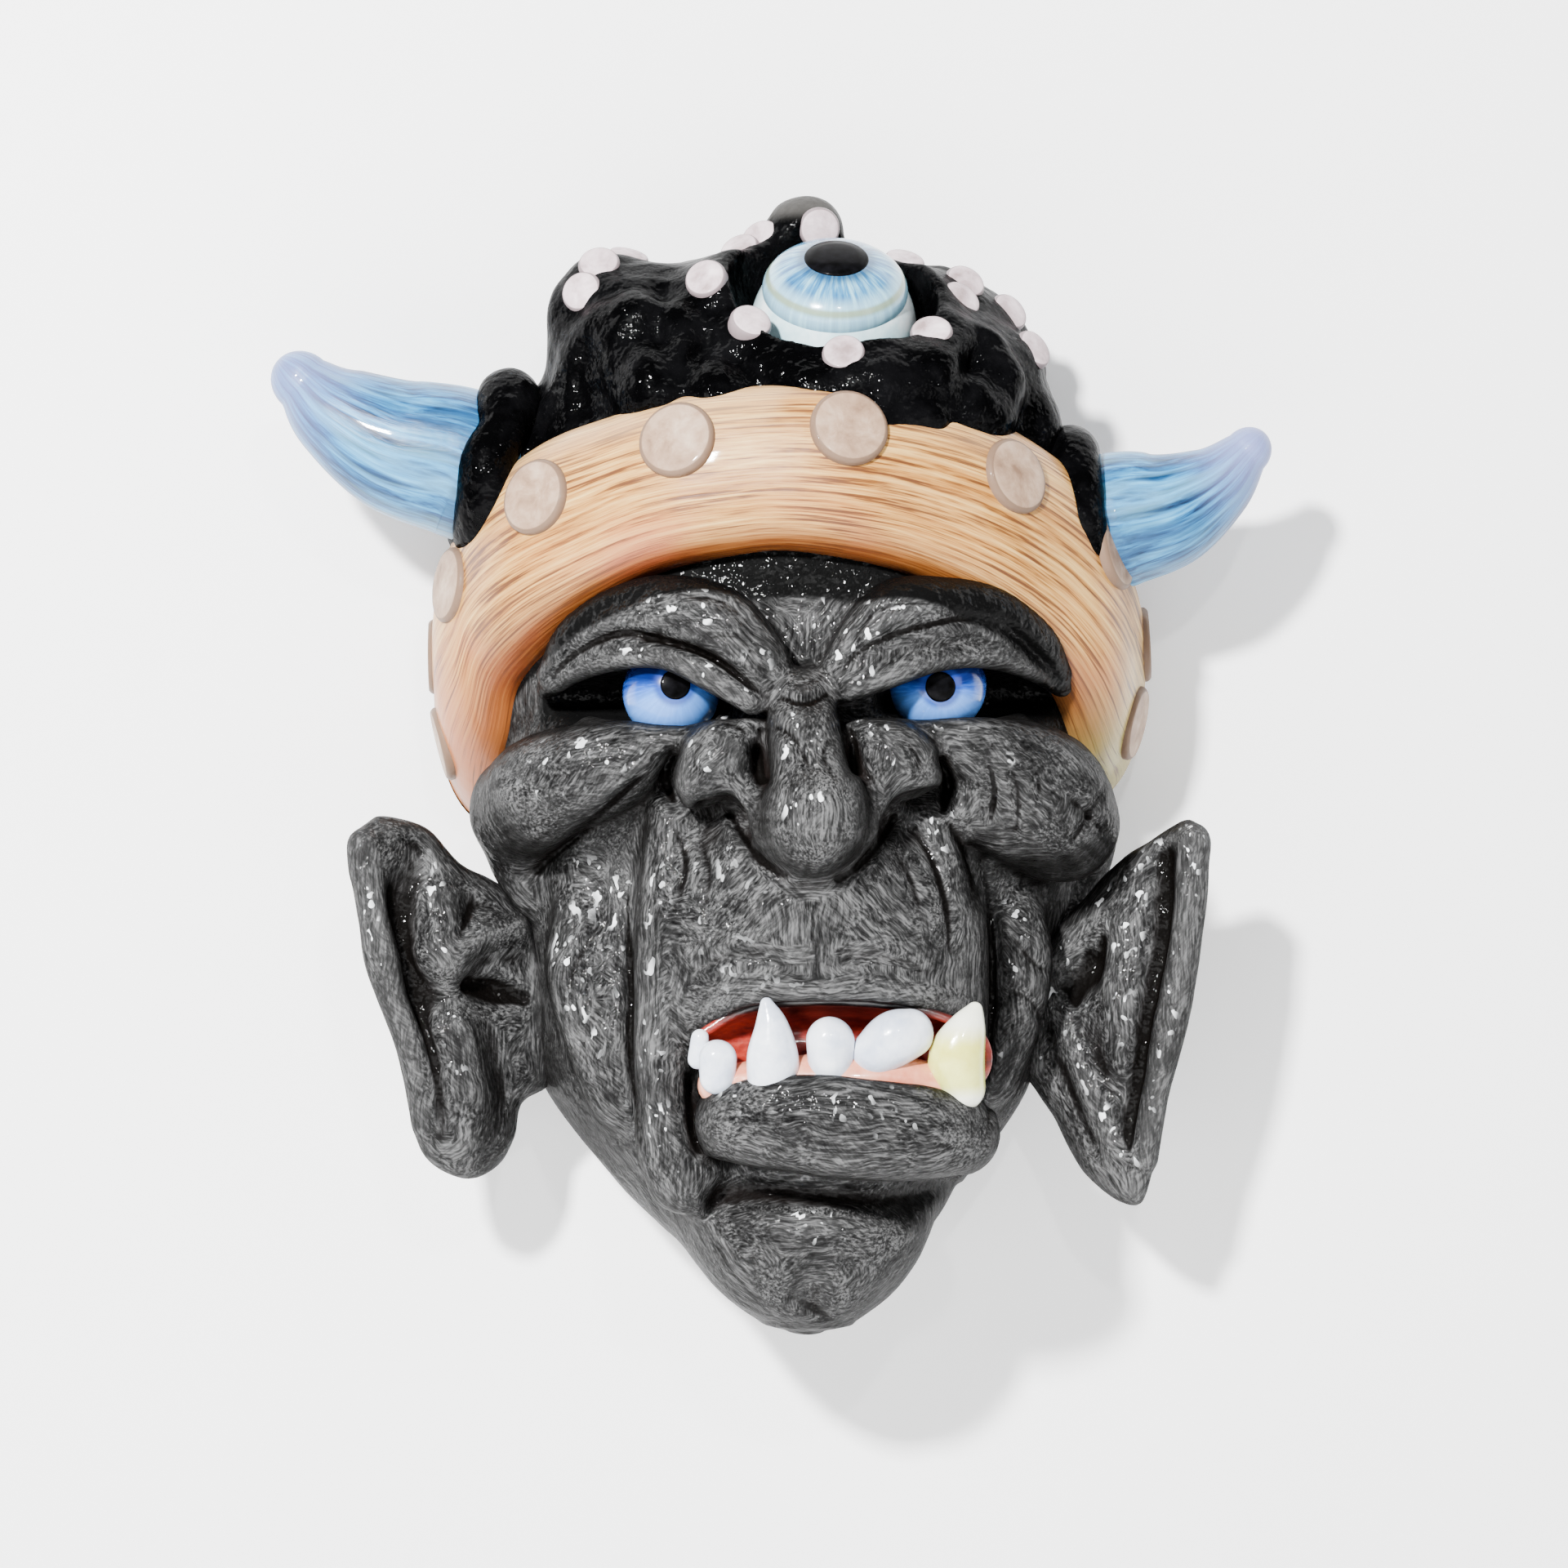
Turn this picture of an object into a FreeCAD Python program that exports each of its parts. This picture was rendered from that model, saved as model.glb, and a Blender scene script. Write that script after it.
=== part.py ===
"""Ogre mask for a wall, in millimetres.

The mask is a moulded head shell in two pieces, a grey face and a black cap, with a headband over the
joint. Horns, collars, ears, eyes, teeth and studs are separate pieces fixed to the shells, and a
wooden bar across the open back hangs the mask on a nail.

Frame: +Z is up, the mask looks along -Y and its open back lies in the plane y = 0. The origin is the
centre of the hanging hole where it meets that plane.
"""

import FreeCAD, Part
import math
import os

from FreeCAD import Placement, Rotation, Vector

doc = FreeCAD.newDocument("OgreMask")

# ---------------------------------------------------------------- driving dimensions
sizes = doc.addObject("Spreadsheet::Sheet", "Sizes")
values = {}


def size(alias, value):
    """Writes one driving dimension to the sheet and returns its alias."""
    row = len(values) + 1
    sizes.set("A%d" % row, alias)
    sizes.set("B%d" % row, str(value))
    sizes.setAlias("B%d" % row, alias)
    values[alias] = value
    return alias


size("wall", 6.0)
size("band_thickness", 15.0)
size("bar_thick", 10.0)
size("bar_tall", 24.0)
size("bar_wide", 240.0)
size("hanging_radius", 3.0)
size("tie_radius", 2.0)
size("tie_down", 122.0)
size("tie_down_right", 130.0)
size("tie_in", 10.0)
size("eye_radius", 14.0)
size("crown_radius", 24.5)
size("crown_iris_radius", 21.0)
size("crown_pupil_radius", 9.0)
size("crown_pupil_deep", 8.0)
size("horn_base_radius", 22.0)
size("collar_ring_radius", 21.0)
size("collar_tube_radius", 9.0)
size("peg_radius", 5.0)
size("peg_long", 44.0)
size("stud_radius", 6.2)
size("stud_rise", 4.0)
size("stud_dome_down", 26.0)
size("band_stud_radius", 11.3)
size("far", 400.0)

# Sloping planes, each given by y, z and how fast it falls towards +Y.
BAND_FOOT = (-101, -20, 1.0)
BAND_TOP = (-101, 28, 0.6)
SHELL_JOINT = (-95, 4, 0.8)

# Level sections of the head: height, half width, half depth, middle x, middle y.
HEAD_SECTIONS = [
    (72, 20, 18, 0, -28),
    (66, 46, 42, -2, -22),
    (52, 66, 60, -1, -14),
    (30, 77, 72, -2, -10),
    (0, 88, 78, -3, -8),
    (-35, 93, 80, -3, -8),
    (-70, 92, 78, -3, -8),
    (-105, 88, 75, -3, -8),
    (-140, 80, 72, -4, -10),
    (-175, 74, 66, -5, -14),
    (-205, 54, 50, -4, -24),
    (-230, 33, 30, -2, -38),
    (-246, 12, 11, -1, -50),
]

# Round forms of the face: x, y, z, radius.
BROW_LUMPS = {
    "brow_left_outer": (-52, -72, -45, 15),
    "brow_left_inner": (-27, -81, -46, 16),
    "brow_right_outer": (53, -71, -45, 15.3),
    "brow_right_inner": (28, -81, -45, 16.2),
}
FACE_LUMPS = {
    "nose_root": (2, -88, -90, 22),
    "nose_bridge": (0, -96, -69, 11.5),
    "nose_tip": (3.6, -112, -96.5, 18),
    "nose_wing_left": (-24, -94, -83.5, 12),
    "nose_wing_right": (28, -94, -83, 12.4),
    "cheek_left": (-66, -60, -88, 24),
    "cheek_left_outer": (-82, -45, -93, 16.5),
    "cheek_right": (67, -60, -95, 25),
    "muzzle_left": (-15, -72, -131, 32),
    "muzzle_right": (20, -71, -132, 33),
    "jowl_left": (-61, -50, -140, 21),
    "jowl_right": (55, -49, -141, 22),
    "lip_left": (-9, -87, -187, 16),
    "lip_middle": (13, -89, -186.5, 17.5),
    "lip_right": (34, -85, -188, 16.4),
    "chin": (-1, -58, -214, 32.7),
}

# Round lumps of the cap: x, y, z, radius.
CAP_LUMPS = {
    "lump_left": (-48, -42, 47, 25),
    "lump_left_low": (-62, -44, 22, 19),
    "lump_peak": (1, -27, 73.4, 14),
    "lump_right": (47, -42, 37, 25),
    "lump_right_low": (60, -44, 19, 17),
}

MOUTH = (10, -94, -159, 41, 26, 13, -3)

# Teeth stand on the gum: centre, half width, half depth, half height, lean.
TEETH = {
    "tooth_corner": (-28, -96, -163, 5, 5, 8, -10),
    "tooth_small_left": (-24, -101, -167, 6.6, 6, 7, 0),
    "tooth_fang_left": (-8.5, -103, -160, 8.4, 7, 15, 4),
    "tooth_round": (7.7, -104, -160, 7.6, 7, 7.4, 0),
    "tooth_molar": (28, -103, -158.5, 10, 8, 9, -14),
    "tooth_fang_right": (44.5, -97, -163, 9.5, 8, 17, -14),
}

# Band studs by place on the band: x, z.
BAND_STUDS = [(-111, -77), (-113, -49), (-104, -27), (-77, -4), (-36.5, 12),
              (12.7, 15), (61.5, 3.3), (92, -18), (104, -44), (100, -69)]

# Cap studs by place: x, y, z of a point on the cap.
CAP_STUDS = [
    (3.8, -52, 76),
    (-15.5, -77, 46),
    (11, -84, 40),
    (36.5, -77, 43.5),
    (46.4, -59, 56),
    (-28.5, -68, 60),
    (-17, -36, 72),
    (30, -40, 69),
    (48, -36, 61),
    (-60, -46, 67),
    (-66.5, -54, 56.5),
    (-52, -34, 71),
    (62, -44, 53),
    (69, -46, 42),
    (-12.6, -25, 76),
]

HORNS = {
    "left": [(-88, -34, 6), (-104, -35, 9.5), (-124, -37, 15), (-141, -39, 25), (-151, -40.5, 36.5)],
    "right": [(78, -34, -10), (93, -35, -9), (109, -37, -5), (123, -39, 3), (132, -40.5, 14)],
}
HORN_TAPER = (1.0, 0.98, 0.86, 0.62, 0.32)


for i, (_, half_wide, half_deep, _, _) in enumerate(HEAD_SECTIONS):
    size("head_wide_%d" % i, half_wide)
    size("head_deep_%d" % i, half_deep)


# ---------------------------------------------------------------- building blocks
def bind(obj, **formulas):
    """Binds properties of an object to expressions on the sheet."""
    for name, formula in formulas.items():
        obj.setExpression(name.replace("__", "."), formula)
    return obj


def fuse(name, *objects):
    """One solid made of several that overlap."""
    obj = doc.addObject("Part::MultiFuse", name)
    obj.Shapes = list(objects)
    return obj


def common(name, *objects):
    """What several solids share."""
    obj = doc.addObject("Part::MultiCommon", name)
    obj.Shapes = list(objects)
    return obj


def cut(name, base, *tools):
    """A solid less each of the tools in turn."""
    for i, tool in enumerate(tools, 1):
        obj = doc.addObject("Part::Cut", name if i == len(tools) else "%s_cut_%d" % (name, i))
        obj.Base, obj.Tool = base, tool
        base = obj
    return base


def ellipsoid(name, form, seam=90):
    """A rounded form whose three half sizes come from the sheet. Its seam is at a turn about its height."""
    x, y, z, wide, deep, tall, lean = form
    obj = doc.addObject("Part::Ellipsoid", name)
    spin = Rotation(Vector(0, 1, 0), lean).multiply(Rotation(Vector(0, 0, 1), seam))
    obj.Placement = Placement(Vector(x, y, z), spin)
    return bind(
        obj,
        Radius1="Sizes." + size(name + "_tall", tall),
        Radius2="Sizes." + size(name + "_deep", deep),
        Radius3="Sizes." + size(name + "_wide", wide),
    )


def head_loft(name, grow):
    """The head lofted through its level sections, grown outwards or inwards by grow millimetres."""
    sections = []
    last = len(HEAD_SECTIONS) - 1
    for i, (z, _, _, mid_x, mid_y) in enumerate(HEAD_SECTIONS):
        wide, deep = "head_wide_%d" % i, "head_deep_%d" % i
        ring = doc.addObject("Part::Ellipse", "%s_ring_%d" % (name, i))
        rise = grow if i < 3 else (-grow if i >= last - 1 else 0)
        ring.Placement.Base = Vector(mid_x, mid_y, z + rise)
        bind(ring, MajorRadius="Sizes.%s + %g" % (wide, grow), MinorRadius="Sizes.%s + %g" % (deep, grow))
        sections.append(ring)
    return loft(name, sections)


def loft(name, sections):
    """A smooth solid through closed sections."""
    obj = doc.addObject("Part::Loft", name)
    obj.Sections, obj.Solid, obj.Ruled = sections, True, False
    return obj


def ball(name, place, radius):
    """A sphere whose radius comes from the sheet. Its poles lie front and back."""
    obj = doc.addObject("Part::Sphere", name)
    obj.Placement = Placement(Vector(*place), Rotation(Vector(1, 0, 0), 90))
    return bind(obj, Radius=radius)


def half_space(name, y, z, slope):
    """A box that fills everything above the plane through (0, y, z) that falls by slope towards +Y."""
    far = values["far"]
    turn = Rotation(Vector(1, 0, 0), -math.degrees(math.atan(slope)))
    box = doc.addObject("Part::Box", name)
    box.Placement = Placement(Vector(0, y, z) + turn.multVec(Vector(-far / 2, -far / 2, 0)), turn)
    return bind(box, Length="Sizes.far", Width="Sizes.far", Height="Sizes.far")


def rod(name, start, direction, radius, length):
    """A cylinder from a point along a direction, sized from the sheet."""
    obj = doc.addObject("Part::Cylinder", name)
    obj.Placement = Placement(start, Rotation(Vector(0, 0, 1), direction))
    return bind(obj, Radius=radius, Height=length)


def radial_direction(point, centre=Vector(0, 0, -20)):
    """Direction from the head's middle through a point, which is close to the surface's own normal."""
    out = point - centre
    return out.normalize()


# ---------------------------------------------------------------- head: face, cap and band blanks
behind = doc.addObject("Part::Box", "behind_the_wall")
behind.Placement.Base = Vector(-values["far"] / 2, 0, -values["far"])
bind(behind, Length="Sizes.far", Width="Sizes.far", Height="2 * Sizes.far")

head_outer = head_loft("head_outer", 0)
head_inner = head_loft("head_inner", -values["wall"])
band_outer = head_loft("band_outer", values["band_thickness"])

above_joint = half_space("above_joint", *SHELL_JOINT)
above_band_foot = half_space("above_band_foot", *BAND_FOOT)
above_band_top = half_space("above_band_top", *BAND_TOP)

eye_places = {"left": Vector(-38.4, -78, -60), "right": Vector(38.2, -78, -58)}
eyeballs = {}
for side, place in eye_places.items():
    eyeballs[side] = ball("eyeball_" + side, place, "Sizes.eye_radius")

crown_axis = Vector(0.03, -0.63, 0.776).normalize()
crown_place = Vector(8.5, -50, 47.5)
crown_ball = ball("crown_ball", crown_place, "Sizes.crown_radius")

mouth_cut = ellipsoid("mouth_cut", MOUTH)


def lumps(table):
    """Spheres for a table of round forms."""
    return [ball(name, place, "Sizes." + size(name + "_radius", radius)) for name, (*place, radius) in table.items()]


brows, features = lumps(BROW_LUMPS), lumps(FACE_LUMPS)
cheeks = [obj for obj in features if obj.Name.startswith("cheek")]
face_mass = fuse("face_mass", head_outer, *brows, *features)
cap_mass = fuse("cap_mass", head_outer, *lumps(CAP_LUMPS))


# ---------------------------------------------------------------- pegs and tie holes through the shells
def horn_root(side):
    """Where a horn's curve starts, and the direction it sets off in."""
    root, second = Vector(*HORNS[side][0]), Vector(*HORNS[side][1])
    return root, (second - root).normalize()


keep, pegs = {}, {}
for side in HORNS:
    root, axis = horn_root(side)
    pegs[side] = rod("horn_peg_" + side, root - axis * 18, axis, "Sizes.peg_radius", "Sizes.peg_long")
    keep["horn_peg_" + side] = pegs[side]

# The right hole is lower than the left one, so that neither lies on the other's line.
tie_holes = [
    rod("tie_hole_" + side, Vector(start, -values["tie_in"], -down), Vector(1, 0, 0),
        "Sizes.tie_radius", "60")
    for side, start, down in (("left", -120, values["tie_down"]), ("right", 60, values["tie_down_right"]))
]

# ---------------------------------------------------------------- face shell
face_shell = cut("face_shell", face_mass, behind, head_inner, above_joint, mouth_cut,
                 *eyeballs.values(), *tie_holes)
keep["face_shell"] = face_shell

# ---------------------------------------------------------------- cap shell
cap_upper = common("cap_upper", cap_mass, above_joint)
cap_blank = cut("cap_blank", cap_upper, behind, head_inner, crown_ball, *pegs.values())

# ---------------------------------------------------------------- head band
band_region = common("band_region", band_outer, above_band_foot)
band_blank = cut("band_blank", band_region, above_band_top)
keep["head_band"] = cut("head_band", band_blank, behind, cap_mass, *brows, *cheeks, *pegs.values())

# ---------------------------------------------------------------- horns with pegs and collars
def horn_blank(side):
    """A horn lofted through round sections along its curve."""
    path = [Vector(*point) for point in HORNS[side]]
    sections = []
    for i, (point, share) in enumerate(zip(path, HORN_TAPER)):
        ahead, back = path[min(i + 1, len(path) - 1)], path[max(i - 1, 0)]
        ring = doc.addObject("Part::Circle", "horn_%s_ring_%d" % (side, i))
        ring.Placement = Placement(point, Rotation(Vector(0, 0, 1), ahead - back))
        bind(ring, Radius="Sizes.horn_base_radius * %g" % share)
        sections.append(ring)
    stem = loft("horn_stem_" + side, sections)
    tip = ball("horn_tip_" + side, path[-1] - (path[-1] - path[-2]).normalize() * 1.5,
               "Sizes.horn_base_radius * %g" % (HORN_TAPER[-1] * 1.03))
    return fuse("horn_blank_" + side, stem, tip)


horn_blanks = {side: horn_blank(side) for side in HORNS}
collar_rings = {}
for side, blank in horn_blanks.items():
    root, axis = horn_root(side)
    ring = doc.addObject("Part::Torus", "collar_ring_" + side)
    ring.Placement = Placement(root + axis * 4, Rotation(Vector(0, 0, 1), axis))
    bind(ring, Radius1="Sizes.collar_ring_radius", Radius2="Sizes.collar_tube_radius")
    collar_rings[side] = ring
    keep["horn_" + side] = cut("horn_" + side, blank, pegs[side], cap_mass, band_blank)
    keep["horn_collar_" + side] = cut("horn_collar_" + side, ring, cap_mass, band_blank, blank)

# ---------------------------------------------------------------- ears
EARS = {"left": (-104, -40, -149, 27, 54, -6, 28), "right": (93, -40, -152, 27, 55, 8, -30)}
EAR_LEVELS = [(-1.0, 0.30), (-0.8, 0.68), (-0.45, 0.95), (0.0, 1.0), (0.45, 0.92), (0.8, 0.62), (1.0, 0.28)]
size("ear_thick", 8.0)
size("ear_bowl_radius", 34.0)
for side, (x, y, z, wide, tall, lean, turn) in EARS.items():
    spin = Rotation(Vector(0, 0, 1), turn).multiply(Rotation(Vector(0, 1, 0), lean))
    width = size("ear_wide_" + side, wide)
    rings = []
    for i, (height, share) in enumerate(EAR_LEVELS):
        ring = doc.addObject("Part::Ellipse", "ear_%s_ring_%d" % (side, i))
        ring.Placement = Placement(Vector(x, y, z) + spin.multVec(Vector(0, 0, height * tall)), spin)
        rings.append(bind(ring, MajorRadius="Sizes.%s * %g" % (width, share),
                          MinorRadius="Sizes.ear_thick * %g" % share))
    blade = loft("ear_blade_" + side, rings)
    hollow = Vector(x, y, z) + spin.multVec(Vector(0, -values["ear_bowl_radius"] - 2, 4))
    bowl = ball("ear_bowl_" + side, hollow, "Sizes.ear_bowl_radius")
    keep["ear_" + side] = cut("ear_" + side, blade, bowl, face_mass, band_outer)

# ---------------------------------------------------------------- eyes
for side in eyeballs:
    pupil = rod("pupil_rod_" + side, eye_places[side] + Vector(0, -10, 0), Vector(0, -1, 0),
                "Sizes.eye_radius * 0.34", "Sizes.eye_radius")
    keep["pupil_" + side] = common("pupil_" + side, pupil, eyeballs[side])
    keep["eye_" + side] = cut("eye_" + side, eyeballs[side], pupil)

iris_seat = rod("iris_seat", crown_place + crown_axis * 11.5, crown_axis,
                "Sizes.crown_iris_radius", "Sizes.crown_iris_radius")
pupil_seat = rod("pupil_seat", crown_place + crown_axis * 16.5, crown_axis,
                 "Sizes.crown_pupil_radius", "Sizes.crown_pupil_deep + 6")
crown_dome = ball("crown_dome", crown_place + crown_axis * 1.0, "Sizes.crown_radius + 0.5")
iris_blank = common("iris_blank", crown_dome, iris_seat)
keep["skull_cap"] = cut("skull_cap", cap_blank, iris_blank)
keep["crown_eye_iris"] = cut("crown_eye_iris", iris_blank, pupil_seat)
keep["crown_eye_pupil"] = common("crown_eye_pupil", pupil_seat, crown_dome)
keep["crown_eye_white"] = cut("crown_eye_white", crown_ball, iris_seat)

# ---------------------------------------------------------------- mouth: lining, gum and teeth
mouth_hollow = ellipsoid("mouth_hollow", (10, -94, -159, 37, 21, 10, -3))
front_of_lining = doc.addObject("Part::Box", "front_of_lining")
front_of_lining.Placement.Base = Vector(-values["far"] / 2, -89 - values["far"], -values["far"])
bind(front_of_lining, Length="Sizes.far", Width="Sizes.far", Height="2 * Sizes.far")
keep["mouth_lining"] = cut("mouth_lining", mouth_cut, mouth_hollow, front_of_lining)

gum_form = ellipsoid("gum_form", (9, -91, -171, 36, 9, 8, -3))
keep["lower_gum"] = cut("lower_gum", gum_form, keep["mouth_lining"], face_shell)

earlier = []
for name, form in TEETH.items():
    tooth = ellipsoid(name + "_form", form, 90 if name == "tooth_fang_right" else 270)
    keep[name] = cut(name, tooth, gum_form, face_shell, keep["mouth_lining"], *earlier)
    earlier.append(tooth)

# ---------------------------------------------------------------- studs
def stud(name, place, radius, *carriers):
    """A domed disc, trimmed to sit exactly on what carries it."""
    out = radial_direction(place)
    disc = rod(name + "_disc", place - out * values["stud_rise"], out, radius, "2 * Sizes.stud_rise")
    dome = ball(name + "_dome", place - out * values["stud_dome_down"], "Sizes.stud_dome_down + Sizes.stud_rise")
    return cut(name, common(name + "_blank", disc, dome), *carriers)


doc.recompute()
band_surface, cap_surface = keep["head_band"].Shape, keep["skull_cap"].Shape


def outer_point(shape, x, z):
    """The frontmost point of a shape on the line through (x, z) that runs from front to back."""
    line = Part.makeLine(Vector(x, -values["far"], z), Vector(x, 0, z))
    hit = shape.common(line)
    return min((v.Point for v in hit.Vertexes), key=lambda p: p.y) if hit.Vertexes else None


def nearest_point(shape, guess):
    """The point of a shape's surface nearest to a guess."""
    return shape.distToShape(Part.Vertex(guess))[1][0][0]


for i, (x, z) in enumerate(BAND_STUDS, 1):
    place = outer_point(band_surface, x, z) or nearest_point(band_surface, Vector(x, -30, z))
    name = "band_stud_%02d" % i
    keep[name] = stud(name, place, "Sizes.band_stud_radius", keep["head_band"],
                      *horn_blanks.values(), *collar_rings.values())

for i, guess in enumerate(CAP_STUDS, 1):
    place = nearest_point(cap_surface, Vector(*guess))
    name = "cap_stud_%02d" % i
    keep[name] = stud(name, place, "Sizes.stud_radius", keep["skull_cap"], crown_ball, crown_dome)

# ---------------------------------------------------------------- hanging bar
bar_blank = doc.addObject("Part::Box", "bar_blank")
bar_blank.Placement.Base = Vector(-values["bar_wide"] / 2, -values["bar_thick"], -values["bar_tall"] / 2)
bind(bar_blank, Length="Sizes.bar_wide", Width="Sizes.bar_thick", Height="Sizes.bar_tall")
bar_fitted = common("bar_fitted", bar_blank, head_inner)
hanging_hole = rod("hanging_hole", Vector(0, -30, 0), Vector(0, 1, 0), "Sizes.hanging_radius", "60")
keep["hanging_bar"] = cut("hanging_bar", bar_fitted, hanging_hole)

# ---------------------------------------------------------------- check and write
doc.recompute()
for obj in doc.Objects:
    if "Invalid" in obj.State or "Error" in obj.State:
        raise RuntimeError("%s failed: %s" % (obj.Name, obj.State))

os.makedirs("parts", exist_ok=True)
for name, obj in sorted(keep.items()):
    obj.Label = name
    shape = obj.Shape
    if shape.isNull() or not shape.isValid() or not shape.Solids or shape.Volume <= 0:
        raise RuntimeError("%s has no valid solid" % name)
    shape.exportStep("parts/%s.step" % name)
    print("%-20s solids %d  volume %9.1f" % (name, len(shape.Solids), shape.Volume))
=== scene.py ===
"""Ogre mask: the painted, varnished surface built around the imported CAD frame.

The head, cap, collars and ears are sculpted as clay: signed distances on a grid, in millimetres, that
are added to, carved and creased, then turned into meshes. Everything else is swept, turned or lathed.
"""

import math

import bpy
import numpy as np
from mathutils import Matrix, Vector


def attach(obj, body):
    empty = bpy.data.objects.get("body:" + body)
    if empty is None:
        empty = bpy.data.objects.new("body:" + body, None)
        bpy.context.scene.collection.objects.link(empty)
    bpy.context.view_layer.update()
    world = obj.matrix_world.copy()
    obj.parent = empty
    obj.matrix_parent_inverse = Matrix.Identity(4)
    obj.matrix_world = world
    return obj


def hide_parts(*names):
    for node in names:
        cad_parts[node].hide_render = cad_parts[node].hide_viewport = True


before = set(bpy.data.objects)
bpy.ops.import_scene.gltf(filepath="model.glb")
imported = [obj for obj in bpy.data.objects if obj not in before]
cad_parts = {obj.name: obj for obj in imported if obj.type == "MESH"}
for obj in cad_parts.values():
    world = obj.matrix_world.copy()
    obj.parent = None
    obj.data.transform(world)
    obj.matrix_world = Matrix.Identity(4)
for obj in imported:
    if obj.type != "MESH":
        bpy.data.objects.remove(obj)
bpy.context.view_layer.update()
MM = 0.001
FAR = 999.0


# ---------------------------------------------------------------- small helpers
def smooth_min(a, b, k):
    """The lesser of two distances, rounded over k millimetres where they meet."""
    if k <= 0:
        return np.minimum(a, b)
    h = np.maximum(k - np.abs(a - b), 0) / k
    return np.minimum(a, b) - h * h * k * 0.25


def smooth_max(a, b, k):
    """The greater of two distances, rounded over k millimetres."""
    return -smooth_min(-a, -b, k)


def smoothstep(low, high, value):
    """0 below low, 1 above high, and a smooth rise between."""
    t = np.clip((value - low) / (high - low), 0, 1)
    return t * t * (3 - 2 * t)


def spline(points, per_span):
    """A smooth run of points through the given ones, with any extra columns carried along."""
    p = np.array(points, float)
    if len(p) < 3:
        t = np.linspace(0, 1, per_span + 1)[:, None]
        return p[0] + (p[-1] - p[0]) * t
    ends = np.vstack([2 * p[0] - p[1], p, 2 * p[-1] - p[-2]])
    out = []
    for i in range(len(p) - 1):
        a, b, c, d = ends[i : i + 4]
        for t in np.arange(per_span) / per_span:
            out.append(
                0.5 * (2 * b + (c - a) * t + (2 * a - 5 * b + 4 * c - d) * t * t
                       + (3 * b - a - 3 * c + d) * t ** 3)
            )
    out.append(p[-1])
    return np.array(out)


CORNERS = [(i, j, k) for i in (0, 1) for j in (0, 1) for k in (0, 1)]


def cell_corners(t):
    """The eight corners of a grid cell, each with its weight for places t within the cell."""
    for corner in CORNERS:
        a, b, c = [t[:, n] if far else 1 - t[:, n] for n, far in enumerate(corner)]
        yield corner, a * b * c


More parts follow.
